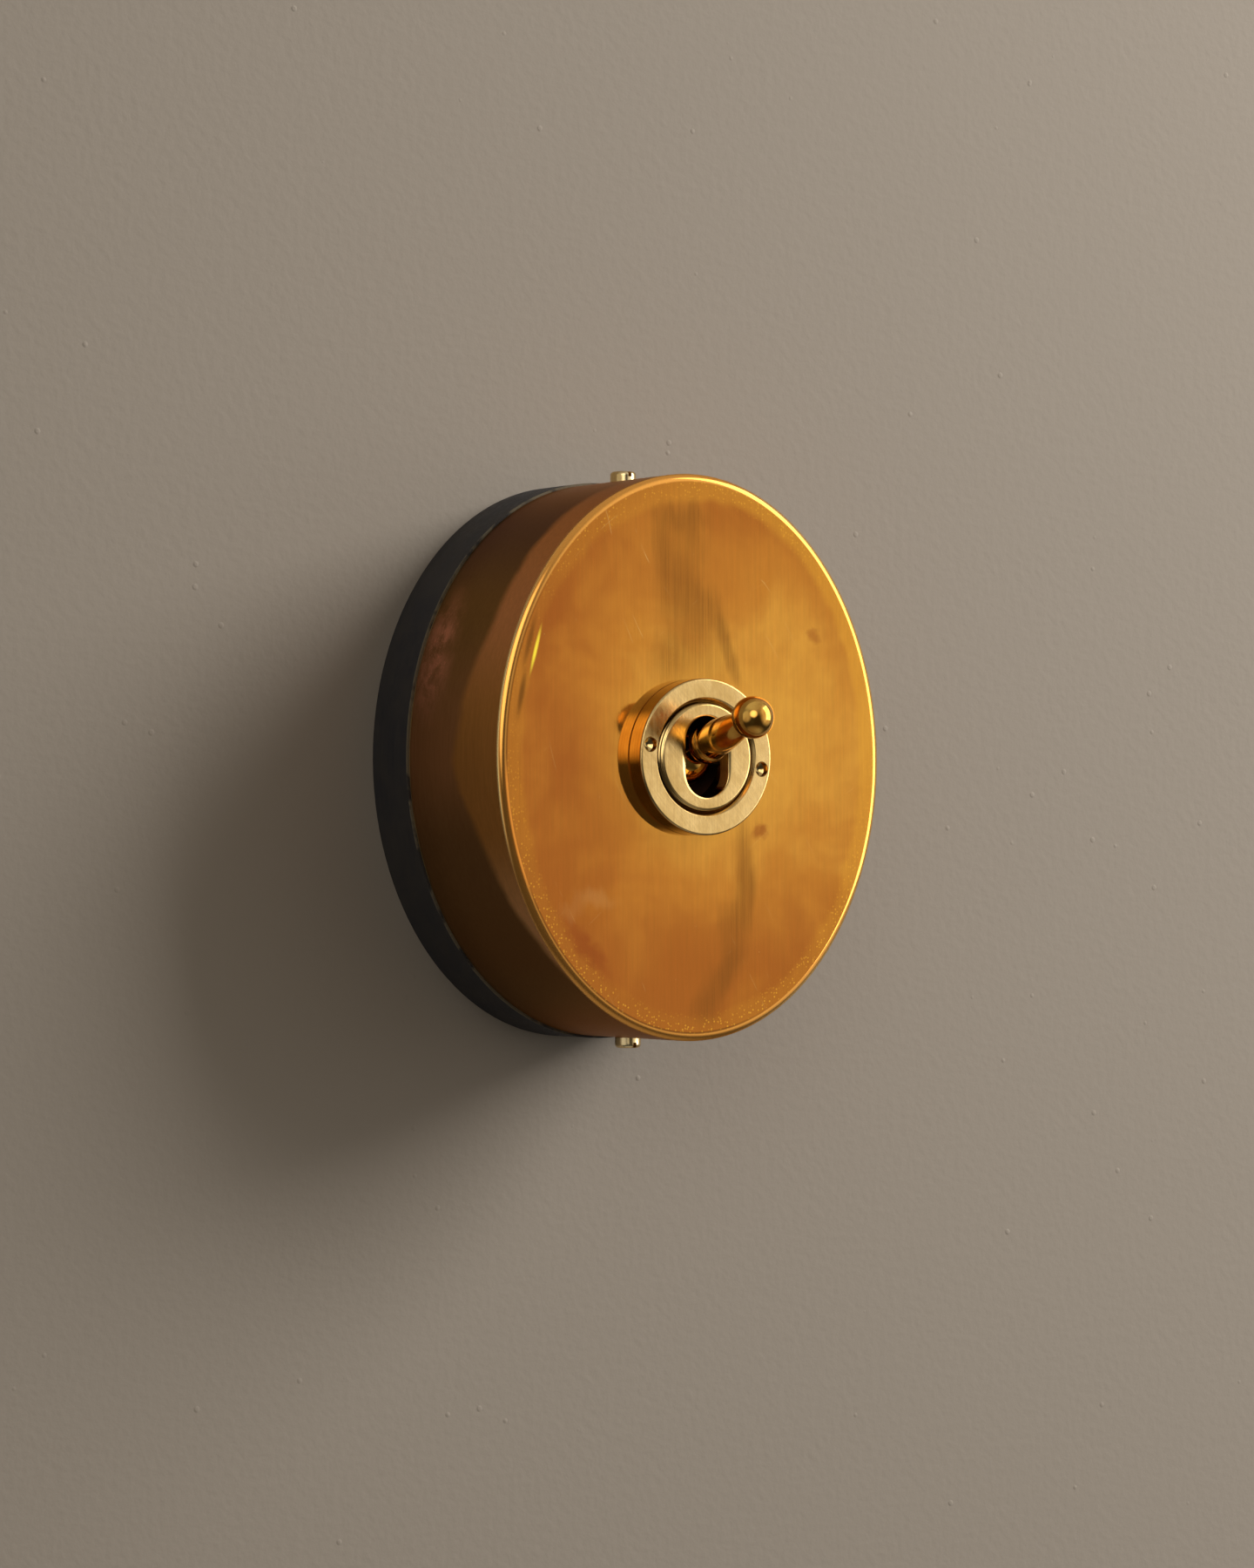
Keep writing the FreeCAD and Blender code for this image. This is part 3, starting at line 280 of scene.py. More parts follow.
agedBrass = {
    "golden": rgb(214, 154, 61), "amber": rgb(190, 123, 45), "umber": rgb(164, 95, 35), "honey": rgb(224, 162, 54),
    "stain": rgb(112, 70, 26), "rust": rgb(148, 76, 30), "worn": rgb(250, 220, 150), "edge": rgb(236, 166, 78),
    # the darkest brown on the next line serves dirt lines and side hairlines, and also painted shade and the dark part
    # of a painted reflection
    "dirt": rgb(60, 34, 12), "sideRust": rgb(238, 160, 124), "plainSide": rgb(184, 122, 54),
    # left side, beside the front edge and behind it, painted with tarnish and with the mirrored lit wall and its
    # shadow: middle tone, then height where the next tone starts and is full
    "front": (rgb(205, 143, 76), [(6.0, 26.0, rgb(214, 146, 94)), (-12.0, -32.0, rgb(250, 190, 132))]),
    "rear": (rgb(176, 124, 81), [(2.0, 26.0, rgb(133, 100, 58)), (26.0, 40.0, rgb(110, 86, 60)),
                                 (0.0, -16.0, rgb(141, 104, 66)), (-34.0, -44.0, rgb(145, 112, 71))]),
    "grazing": (0.5, 0.32, 0.2, 1.0),
    "reflectionYellow": (1.0, 0.78, 0.06, 1.0), "sliverReflection": rgb(238, 152, 62),
    "metallic": 0.8, "roughness": (0.035, 0.08), "smearRoughness": 0.06, "sideRoughness": 0.26,
    "oval": (40.2, 50.0), "goldenMiddle": (14.0, 0.0, 4.0), "goldenShrink": (1 / 50, 0.0, 1 / 46),
    "cloud": dict(Size=0.05, Detail=3.0), "mottle": dict(Size=0.25, Detail=4.0),
    "hair": dict(Stretch=(6.0, 6.0, 0.2), Contrast=0.44), "strands": dict(Stretch=(6.5, 6.5, 0.09), Contrast=0.42),
    "scratch": dict(Turn=0.45, Size=0.1, Width=0.0016, Sparse=0.57),
    "cross": dict(Turn=-0.9, Size=0.13, Width=0.0016, Sparse=0.6),
    "grains": dict(Size=2.0, Share=0.45, Radius=0.46), "dust": dict(Size=0.45, Share=0.1, Radius=0.055),
    "swirl": dict(squeeze=(0.5, 0.5, 0.12), detail=2.0, sway=(2.4, 0.0, 5.0)),
    "ragged": dict(squeeze=(0.55, 0.55, 0.55), detail=3.0, sway=(3.0, 0.0, 3.0)),
    "redCloud": dict(Middle=(17.0, 0, 18.0), Half=(6.5, 1, 12.0), Lean=0.0), "redMottle": (0.9, 0.15), "redGrain": 0.35,
    "streaks": (0.9, 0.38), "dirtSlant": 0.6,
    # share of each paint where its mask is full
    "shares": dict(mottle=0.12, smears=0.62, hair=0.18, marks=0.24, grains=0.6, roll=0.75, dirt=0.5, plainSide=0.5,
                   sideHair=0.2, bare=0.85),
    # slant of the side's lighter band above and below the middle, the height where it stops, the band's ruffle
    "slantUp": 0.32, "slantTop": 24.0, "slantDown": -0.42, "slantRuffle": 2.0, "goldenRuffle": 0.3, "bandRuffle": 1.6,
    # where each mask starts and is full, in mm of depth, inset, x or z, and what it goes from and to
    "steps": dict(
        face=(42.0, 42.25), amber=(0.2, 0.7), umber=(0.6, 1.1), band=(5.2, 3.4), bandRight=(-16.0, 24.0, 0.15, 0.42),
        bandUp=(-40.0, 0.0, 0.35, 1.0), grainsFoot=(10.0, -28.0, 0.2, 1.0), grainsTop=(26.0, 42.0, 0.2, 0.8),
        grainsIn=(5.4, 2.4), roll=(1.5, 1.2), dirtOut=(1.15, 1.35), dirtIn=(1.75, 1.5), dirtLeft=(-6.0, -26.0),
        sliverOut=(0.7, 0.9), sliverIn=(1.7, 1.4), sliverFoot=(-26.0, -19.0), sliverTop=(1.0, -5.0),
        sliverLeft=(-20.0, -30.0, 0.0, 0.85), sideBand=(26.2, 29.4), plainRight=(-24.0, -4.0),
        # the side's darkening towards the wall is painted shade
        soot=(24.0, 13.0, 0.0, 0.22), cornerBack=(41.96, 42.04), cornerFront=(42.46, 42.34),
        cornerFoot=(-24.0, -4.0, 0.15, 1.0), cornerTop=(38.0, 16.0, 0.15, 1.0), rearLine=(12.7, 12.4),
        rearWear=(0.2, 0.9, 0.05, 0.5), rubbedIn=(0.85, 0.45), rubbedRight=(4.0, 26.0, 0.0, 0.8)),
    # middle x, z, half width, half height, lean, strength of each dark smear on the face
    "smearSpots": [(-2.5, 42.5, 6.5, 3.0, 0.0, 0.75), (-6.3, 37.0, 2.4, 8.0, 0.0, 0.75), (-1.5, 37.0, 5.5, 8.0, 0.0, 0.5),
               (0.3, 41.0, 1.5, 5.0, 0.0, 0.6), (-4.5, 29.0, 4.0, 8.0, 0.0, 0.6), (-1.0, 28.0, 4.0, 7.0, -0.1, 0.7),
               (2.0, 26.5, 3.0, 6.0, -0.1, 0.7), (4.8, 25.0, 2.2, 5.5, -0.15, 0.8), (6.8, 21.0, 1.5, 5.0, -0.3, 0.9),
               (8.2, 16.5, 1.4, 5.0, -0.3, 0.9), (-5.0, 17.5, 5.0, 6.0, 0.0, 0.65), (1.5, 19.0, 6.0, 8.0, -0.2, 0.5),
               (10.0, -16.5, 2.4, 6.5, 0.0, 0.7), (10.6, -22.0, 2.6, 6.0, 0.0, 0.9), (9.6, -27.8, 2.6, 5.5, 0.1, 0.85),
               (6.6, -30.3, 2.2, 5.5, 0.1, 0.5), (7.6, -36.0, 3.0, 5.5, 0.35, 0.8), (4.8, -39.7, 3.6, 4.5, 0.4, 0.75),
               (2.0, -44.0, 3.6, 4.2, 0.3, 0.7)],
    # a painted reflection on the left border: its dark side and tail, then its bright streak
    "reflectionDark": [(-33.9, 20.0, 0.7, 5.0, 0.28, 0.5), (-35.6, 11.0, 0.7, 4.6, 0.2, 0.6)],
    "reflectionStreak": [(-32.7, 18.5, 0.42, 4.2, 0.28, 1.0)],
    "smudges": [(-21.0, -24.8, 5.0, 2.0, 0.0, 0.055), (-26.0, -27.0, 3.0, 2.0, 0.0, 0.035)],
    "rustSpots": [(-22.6, -33.3, 2.8, 6.0, -0.83, 0.85), (14.0, -13.0, 1.9, 1.7, 0.2, 0.7),
                  (-27.0, 3.0, 7.0, 14.0, 0.0, 0.4), (26.0, 22.0, 1.6, 1.4, 0.0, 0.5),
                  (-30.0, 26.0, 5.0, 9.0, 0.4, 0.3), (22.0, -30.0, 4.0, 9.0, -0.4, 0.3)],
}


# spots laid over each other: each one covers a share of what is still bare
def layered(tree, spot, spots):
    total = None
    for x, z, wide, high, lean, strength in spots:
        mask = effect(tree, "stain", Place=spot, Middle=(x, 0, z), Half=(wide, 1, high), Lean=lean)
        mask = times(tree, mask, strength)
        total = mask if total is None else calc(tree, "MULTIPLY_ADD", mask, calc(tree, "SUBTRACT", 1.0, total), total)
    return total


def alongHeight(tree, z, tones):
    colour, steps = tones
    for start, full, other in steps:
        colour = tint(tree, ramp(tree, z, start, full), colour, other)
    return colour


def makeAgedBrass():
    look, share = agedBrass, agedBrass["shares"]
    material, tree, shader, spot = startMaterial("agedBrass", look["metallic"], 0.1)
    shader.inputs["Specular Tint"].default_value = look["grazing"]
    axes = place(tree, "ShaderNodeSeparateXYZ", {0: spot}).outputs
    x, z, depth = axes[0], axes[2], times(tree, axes[1], -1.0)
    cloud, mottle = (effect(tree, "cloud", Place=spot, **look[name]) for name in ("cloud", "mottle"))
    hair, strands = (effect(tree, "brush", Place=spot, **look[name]) for name in ("hair", "strands"))
    scratch, cross = (effect(tree, "scratch", Place=spot, **look[name]) for name in ("scratch", "cross"))
    grains, dust = (effect(tree, "speck", Place=spot, **look[name]) for name in ("grains", "dust"))
    swirl, ragged = (wander(tree, spot, **look[name]) for name in ("swirl", "ragged"))

    def step(value, name):
        return ramp(tree, value, *look["steps"][name])

    def lay(colour, paint, *masks):
        return layOver(tree, colour, look[paint], *masks)

    def ruffled(value, size):  # the cloud moves a value by up to half the size either way
        return calc(tree, "ADD", value, calc(tree, "MULTIPLY_ADD", cloud, size, -size / 2))

    # way in from the oval's edge: k (1 - k) over the slope of k, with k the oval's own scale at this point
    wide, high = look["oval"]
    k, grade = (calcVector(tree, "LENGTH", calcVector(tree, "MULTIPLY", spot, (wide ** power, 0, high ** power)),
                           output="Value") for power in (-1, -2))
    inset = calc(tree, "DIVIDE", times(tree, k, calc(tree, "SUBTRACT", 1.0, k)), grade)
    face = step(depth, "face")

    # golden right of the lever, amber further out, umber towards the left and lower border: partly the patina's own
    # tone, partly painted light, with the face lighter on the right where the light falls and darker on the left
    far = calcVector(tree, "MULTIPLY", calcVector(tree, "SUBTRACT", spot, look["goldenMiddle"]), look["goldenShrink"])
    far = ruffled(calcVector(tree, "LENGTH", far, output="Value"), look["goldenRuffle"])
    colour = tint(tree, step(far, "amber"), look["golden"], look["amber"])
    colour = lay(colour, "umber", step(far, "umber"))
    colour = lay(colour, "umber", mottle, share["mottle"])
    # border band, a painted highlight: honey on the right and along the top, where the border catches the light
    band = step(ruffled(inset, look["bandRuffle"]), "band")
    colour = lay(colour, "honey", band, step(x, "bandRight"), step(z, "bandUp"))
    # rust and dark smears, the latter drawn out into brush streaks
    colour = lay(colour, "rust", layered(tree, ragged, look["rustSpots"]))
    smears = layered(tree, swirl, look["smearSpots"])
    smears = calc(tree, "MULTIPLY", smears, calc(tree, "MULTIPLY_ADD", strands, *look["streaks"]), clamp=True)
    colour = lay(colour, "stain", smears, share["smears"])
    # a painted reflection where the left border starts: dark along its outer side and in a tail below, a bright yellow
    # streak on its inner side
    colour = lay(colour, "dirt", layered(tree, spot, look["reflectionDark"]))
    colour = lay(colour, "reflectionYellow", layered(tree, spot, look["reflectionStreak"]))
    # hairlines, pale smudges, stray scratches and dust
    colour = lay(colour, "stain", hair, share["hair"])
    colour = lay(colour, "worn", layered(tree, swirl, look["smudges"]))
    marks = calc(tree, "MAXIMUM", calc(tree, "MAXIMUM", scratch, cross), dust)
    colour = lay(colour, "worn", marks, share["marks"])
    # golden grains just inside the edge, thickest at the foot and the top
    thick = calc(tree, "MAXIMUM", step(z, "grainsFoot"), step(z, "grainsTop"))
    colour = lay(colour, "honey", step(inset, "grainsIn"), thick, grains, share["grains"])
    # the rolled edge is brighter, with a line of dirt inside it and, low on the left, a painted reflection: a bright
    # orange sliver
    colour = lay(colour, "edge", step(inset, "roll"), share["roll"])
    left = step(calc(tree, "MULTIPLY_ADD", z, look["dirtSlant"], x), "dirtLeft")
    colour = lay(colour, "dirt", step(inset, "dirtOut"), step(inset, "dirtIn"), left, share["dirt"])
    colour = lay(colour, "sliverReflection", step(inset, "sliverOut"), step(inset, "sliverIn"), step(z, "sliverFoot"),
                 step(z, "sliverTop"), step(x, "sliverLeft"))

    # the side, a painted reflection: a lighter band beside the front edge where it mirrors the lit wall, darker behind
    # where it mirrors the wall's shadow; the band's rear border slants forwards above and below the middle
    above = calc(tree, "MINIMUM", calc(tree, "MAXIMUM", z, 0.0), look["slantTop"])
    past = calc(tree, "SUBTRACT", depth, times(tree, above, look["slantUp"]))
    past = calc(tree, "SUBTRACT", past, times(tree, calc(tree, "MINIMUM", z, 0.0), look["slantDown"]))
    past = calc(tree, "MULTIPLY_ADD", cloud, look["slantRuffle"], past)
    rear, front = alongHeight(tree, z, look["rear"]), alongHeight(tree, z, look["front"])
    side = tint(tree, step(past, "sideBand"), rear, front)
    # a red cloud high on its rear half, plain amber on the right, and painted shade darkening it towards the wall
    across = place(tree, "ShaderNodeCombineXYZ", {0: depth, 2: z}).outputs[0]
    patchy = calc(tree, "MULTIPLY_ADD", mottle, *look["redMottle"])
    patchy = calc(tree, "MULTIPLY_ADD", grains, look["redGrain"], patchy)
    red = calc(tree, "MULTIPLY", effect(tree, "stain", Place=across, **look["redCloud"]), patchy, clamp=True)
    side = lay(side, "sideRust", red)
    plain = lay(look["plainSide"], "umber", cloud, share["plainSide"])
    side = tint(tree, step(x, "plainRight"), side, plain)
    hairAndShade = calc(tree, "MULTIPLY_ADD", hair, share["sideHair"], step(depth, "soot"))
    colour = tint(tree, face, lay(side, "dirt", hairAndShade), colour)
    # bare metal on the corner, along the rear edge and where the right edge is rubbed, the last partly wear and partly
    # a painted highlight where the edge catches the light
    corner = times(tree, step(depth, "cornerBack"), step(depth, "cornerFront"), step(z, "cornerFoot"),
                   step(z, "cornerTop"))
    rearLine = times(tree, step(depth, "rearLine"), step(cloud, "rearWear"))
    rubbed = times(tree, step(inset, "rubbedIn"), step(x, "rubbedRight"), face)
    bare = calc(tree, "MAXIMUM", calc(tree, "MAXIMUM", corner, rearLine), rubbed)
    colour = lay(colour, "worn", bare, share["bare"])

    tree.links.new(colour, shader.inputs["Base Color"])
    low, high = look["roughness"]
    rough = calc(tree, "MULTIPLY_ADD", hair, high - low, low)
    rough = calc(tree, "MULTIPLY_ADD", smears, look["smearRoughness"], rough)
    rough = calc(tree, "MULTIPLY_ADD", face, -look["sideRoughness"], calc(tree, "ADD", rough, look["sideRoughness"]))
    tree.links.new(rough, shader.inputs["Roughness"])
    bumpOn(tree, shader, hair, 0.06, 0.02)
    return material


brushedBrass = {
    "pale": rgb(226, 192, 128), "deep": rgb(184, 146, 80), "dark": rgb(104, 74, 32), "gapDark": rgb(58, 38, 16),
    "faceRoughness": (0.13, 0.27), "sideRoughness": (0.06, 0.15), "boreRoughness": 0.36, "marks": 0.45, "front": 46.6,
    # the bore's radius, then the gap between bush and ring: where it starts, ends and is painted darker
    "bore": (6.6, 6.2), "gapStart": (9.2, 9.4), "gapEnd": (10.3, 10.0), "gapTop": (46.75, 46.45), "gapDarkening": 0.5,
}


# lathe marks on the turned sides, marks rubbed by hand across the front
def makeBrushedBrass():
    look = brushedBrass
    material, tree, shader, spot = startMaterial("brushedBrass", 1.0, 0.2)
    axes = place(tree, "ShaderNodeSeparateXYZ", {0: spot}).outputs
    depth = times(tree, axes[1], -1.0)
    radius = calc(tree, "SQRT", calc(tree, "MULTIPLY_ADD", axes[0], axes[0], times(tree, axes[2], axes[2])))
    front = ramp(tree, depth, look["front"] - 0.1, look["front"] + 0.15)
    behind = calc(tree, "SUBTRACT", 1.0, front)
    turnedPlace = place(tree, "ShaderNodeCombineXYZ", {0: radius, 1: depth}).outputs[0]
    lathe = effect(tree, "brush", Place=turnedPlace, Stretch=(7.0, 7.0, 0.0), Contrast=0.5)
    upright = effect(tree, "brush", Place=spot, Stretch=(6.0, 6.0, 0.4), Contrast=0.28)
    slant = place(tree, "ShaderNodeVectorRotate", {"Vector": spot, "Angle": 0.7}, rotation_type="Y_AXIS").outputs[0]
    crossed = effect(tree, "brush", Place=slant, Stretch=(5.0, 5.0, 0.25), Contrast=0.35)
    cloud = effect(tree, "cloud", Place=spot, Size=0.2, Detail=4.0)
    rubbed = times(tree, calc(tree, "MULTIPLY_ADD", upright, 0.5, times(tree, crossed, 0.5)), front)
    marks = calc(tree, "MULTIPLY_ADD", lathe, behind, rubbed)
    colour = tint(tree, calc(tree, "MULTIPLY_ADD", cloud, 0.55, 0.05), look["pale"], look["deep"])
    colour = layOver(tree, colour, look["dark"], marks, look["marks"])
    # the gap between bush and ring is painted darker
    gap = times(tree, ramp(tree, radius, *look["gapStart"]), ramp(tree, radius, *look["gapEnd"]))
    colour = layOver(tree, colour, look["gapDark"], gap, ramp(tree, depth, *look["gapTop"]), look["gapDarkening"])
    tree.links.new(colour, shader.inputs["Base Color"])
    (faceLow, faceHigh), (sideLow, sideHigh) = look["faceRoughness"], look["sideRoughness"]
    low = calc(tree, "MULTIPLY_ADD", front, faceLow - sideLow, sideLow)
    high = calc(tree, "MULTIPLY_ADD", front, faceHigh - sideHigh, sideHigh)
    rough = calc(tree, "MULTIPLY_ADD", marks, calc(tree, "SUBTRACT", high, low), low)
    # the bore behind the slot is left as drilled
    bore = times(tree, ramp(tree, radius, *look["bore"]), behind)
    tree.links.new(calc(tree, "MULTIPLY_ADD", bore, look["boreRoughness"], rough), shader.inputs["Roughness"])
    bumpOn(tree, shader, rubbed, 0.08, 0.02)
    return material


# plain metals and mouldings, a cloudy tone between two colours with fine brush marks or grain in gloss and bump:
# both colours, metal, roughness from and to, stretch of the marks, bump
plainLooks = {
    "polished_brass": ((240, 188, 92), (178, 116, 42), 1.0, (0.05, 0.13), (3.0, 3.0, 3.0), 0.02),
    "screw_brass": ((238, 214, 164), (214, 180, 116), 1.0, (0.12, 0.26), (6.0, 6.0, 1.0), 0.05),
    "inner_brass": ((206, 172, 98), (176, 136, 66), 1.0, (0.22, 0.4), (5.0, 1.0, 5.0), 0.06),
    "brown_moulding": ((92, 58, 40), (70, 42, 30), 0.0, (0.3, 0.46), (3.0, 3.0, 3.0), 0.06),
    "contact_silver": ((226, 224, 220), (186, 184, 180), 1.0, (0.2, 0.36), (6.0, 2.0, 6.0), 0.05),
    "spring_steel": ((178, 178, 180), (134, 134, 138), 1.0, (0.24, 0.4), (8.0, 2.0, 8.0), 0.05),
    "pale_nylon": ((224, 217, 200), (204, 195, 175), 0.0, (0.4, 0.55), (2.0, 2.0, 2.0), 0.04),
    "zinc_steel": ((206, 206, 200), (168, 170, 168), 1.0, (0.24, 0.42), (5.0, 5.0, 1.5), 0.05),
}
plainMarks = {"dark": rgb(20, 16, 12), "share": 0.12}


def makePlain(slotName):
    first, second, metal, (low, high), stretch, bump = plainLooks[slotName]
    material, tree, shader, spot = startMaterial(slotName, metal, low)
    cloud = effect(tree, "cloud", Place=spot, Size=0.22, Detail=4.0)
    marks = effect(tree, "brush", Place=spot, Stretch=stretch, Contrast=0.6)
    colour = tint(tree, cloud, rgb(*first), rgb(*second))
    colour = layOver(tree, colour, plainMarks["dark"], marks, plainMarks["share"])
    tree.links.new(colour, shader.inputs["Base Color"])
    tree.links.new(calc(tree, "MULTIPLY_ADD", marks, high - low, low), shader.inputs["Roughness"])
    bumpOn(tree, shader, marks, bump, 0.05)
    return material


blackMoulding = {
    "first": rgb(58, 55, 54), "second": rgb(47, 47, 51), "line": rgb(80, 77, 74), "rim": rgb(112, 104, 88),
    "roughness": (0.5, 0.7), "gloss": 0.1, "lines": 0.35, "rimDepth": (11.7, 11.95), "rimBreakup": (0.2, 0.6),
}


# black base: cloudy tone, fine upright lines, and a pale front rim, a painted highlight where the rim catches the light
def makeBlackMoulding():
    look = blackMoulding
    material, tree, shader, spot = startMaterial("blackMoulding", 0.0, 0.4)
    shader.inputs["Specular IOR Level"].default_value = look["gloss"]
    depth = times(tree, place(tree, "ShaderNodeSeparateXYZ", {0: spot}).outputs[1], -1.0)
    cloud = effect(tree, "cloud", Place=spot, Size=0.12, Detail=4.0)
    lines = effect(tree, "brush", Place=spot, Stretch=(3.5, 3.5, 0.1), Contrast=0.3)
    colour = tint(tree, cloud, look["first"], look["second"])
    colour = layOver(tree, colour, look["line"], lines, look["lines"])
    # painted highlight: a broken pale line along the front rim
    rim = times(tree, ramp(tree, depth, *look["rimDepth"]), ramp(tree, cloud, *look["rimBreakup"]))
    tree.links.new(tint(tree, rim, colour, look["rim"]), shader.inputs["Base Color"])
    low, high = look["roughness"]
    tree.links.new(calc(tree, "MULTIPLY_ADD", lines, high - low, low), shader.inputs["Roughness"])
    bumpOn(tree, shader, lines, 0.06, 0.05)
    return material


materials = {slotName: makePlain(slotName) for slotName in plainLooks}
materials["black_moulding"] = makeBlackMoulding()
materials["aged_brass"] = makeAgedBrass()
materials["brushed_brass"] = makeBrushedBrass()
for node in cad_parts.values():
    slotName = node.data.materials[0].name.split(".")[0]
    node.data.materials[0] = materials[slotName]
print("materials ready:", len(materials))


# cover

cover = {
    "halfWidth": 40.2, "halfHeight": 50.0, "rear": 12.2, "front": 43.0, "sheet": 1.2,
    "corner": 0.5, "cornerTurn": 45.0, "roll": 1.85, "slope": 0.9, "border": 4.6, "knee": 16.0, "rearEdge": 0.12,
    "bushHole": 9.7, "screwHole": 1.45, "screwDepth": 20.6, "columns": 288, "window": 3,
    "windowHalf": 2.6, "wallRows": (13.6, 40.4, 21), "rearStep": 0.6, "ease": 0.1,
}


# the oval's point at angle t is (halfWidth cos t, halfHeight sin t), moved inwards along its own normal
def ovalPoint(t, inset, depth):
    t, inset, depth = np.broadcast_arrays(t, inset, depth)
    normal = np.stack([cover["halfHeight"] * np.cos(t), cover["halfWidth"] * np.sin(t)], -1)
    normal /= np.linalg.norm(normal, axis=-1, keepdims=True)
    return np.stack([cover["halfWidth"] * np.cos(t) - normal[..., 0] * inset, -depth,
                     cover["halfHeight"] * np.sin(t) - normal[..., 1] * inset], -1)


# front edge as (inset, depth): each piece turns the surface from one lean to the next at its own radius, so it moves
# in by radius * (change of sine) and forward by radius * (change of cosine); the sloped border is one straight run
def frontEdge():
    lean = np.radians([90.0, cover["cornerTurn"], cover["slope"], 0.0])
    moves = []
    for first, last, radius, steps in ((lean[0], lean[1], cover["corner"], 7), (lean[1], lean[2], cover["roll"], 13),
                                       (lean[2], lean[3], cover["knee"], 5)):
        turn = np.linspace(first, last, steps)
        moves.append(radius * np.stack([np.sin(first) - np.sin(turn), np.cos(turn) - np.cos(first)], -1))
    run = cover["border"] - sum(move[-1, 0] for move in moves)
    slope = run * np.linspace(0, 1, 7)[:, None] * [1, math.tan(lean[2])]
    line = moves[0]
    for move in (moves[1], slope, moves[2]):
        line = np.concatenate([line, line[-1] + move[1:]])
    return line + [0, cover["front"] - line[-1, 1]]


# the side wall over half the oval, in (t, depth), with a round screw hole in its middle: cells round the hole run
# from a window of the grid to the circle
def wallWithHole(angles, rows, inset, centre):
    middle, reach = len(angles) // 2, cover["window"]
    near = np.searchsorted(rows, cover["screwDepth"] + np.array([-1, 1]) * cover["windowHalf"])
    columns = [angles[:middle - reach + 1], angles[middle - reach:middle + reach + 1], angles[middle + reach:]]
    bands = [rows[:near[0] + 1], rows[near[0]:near[1] + 1], rows[near[1]:]]
    patches = [ovalPoint(columns[side][:, None], inset, rows[None]) for side in (0, 2)]
    patches += [ovalPoint(columns[1][:, None], inset, bands[band][None]) for band in (0, 2)]
    loop = windowLoop(np.stack(np.broadcast_arrays(columns[1][:, None], bands[1][None]), -1))
    bow = cover["halfWidth"] * (1 - inset * cover["halfHeight"] / cover["halfWidth"] ** 2)
    offset = (loop - [centre, cover["screwDepth"]]) * [bow, 1]
    rim = offset / np.linalg.norm(offset, axis=1, keepdims=True) * cover["screwHole"] / [bow, 1]
    rim += [centre, cover["screwDepth"]]
    share = np.linspace(0, 1, 5)[:, None, None]
    flat = loop * (1 - share) + rim * share
    patches.append(ovalPoint(flat[..., 0], inset, flat[..., 1]))
    return patches, patches[-1][-1]


def coverPatches():
    keys = ("rear", "front", "sheet", "rearEdge", "ease", "bushHole")
    rear, front, sheet, soft, ease, hole = (cover[key] for key in keys)
    angles = np.linspace(0, fullTurn, cover["columns"] + 1)
    half = cover["columns"] // 2
    edge = frontEdge()
    shoulder, start = edge[0, 1], rear + soft
    back = np.linspace(0, math.pi / 2, 5)
    rearArc = np.stack([soft * (1 - np.sin(back)), start - soft * np.cos(back)], -1)
    rearRun = np.concatenate([[[sheet, rear], [cover["rearStep"], rear]], rearArc])
    patches = [ovalPoint(angles[:, None], run[:, 0], run[:, 1]) for run in (edge, rearRun)]
    rows = np.linspace(*cover["wallRows"])
    wallRows = np.concatenate([[start, start + ease], rows, [shoulder - ease, shoulder]])
    innerRows = np.concatenate([[rear], rows, [front - sheet]])
    for part, centre in ((angles[:half + 1], math.pi / 2), (angles[half:], 1.5 * math.pi)):
        outer, outerRim = wallWithHole(part, wallRows, 0.0, centre)
        inner, innerRim = wallWithHole(part, innerRows, sheet, centre)
        patches += outer + inner + [np.stack([outerRim, innerRim])]
    # face: straight lines from the border oval to the bush hole, and the same inside the sheet
    share = np.linspace(0, 1, 15)[:, None, None]
    oval, inner = ovalPoint(angles, cover["border"], front), ovalPoint(angles, sheet, front - sheet)
    around = np.arctan2(oval[:, 2], oval[:, 0])
    rims = turned(np.array([[hole, front], [hole, front - sheet]]), around)
    patches += [oval * (1 - share) + rims[:, 0] * share, inner * (1 - share) + rims[:, 1] * share, rims]
    return patches


buildPiece("coverShell", coverPatches(), "housing", "cover", "aged_brass")


# lock ring

lockRing = {"bore": 9.55, "radius": 13.8, "rear": 43.0, "front": 46.9, "edge": 0.4, "mouth": 0.9, "rearChamfer": 0.22,
            "faceEase": 0.06, "mouthEase": 0.09, "holeCircle": 11.9, "holeRadius": 1.3, "holeDepth": 1.3,
            "holeEase": 0.06, "drillPoint": 0.78, "holeAngle": -10.5, "columns": 192, "window": 11}


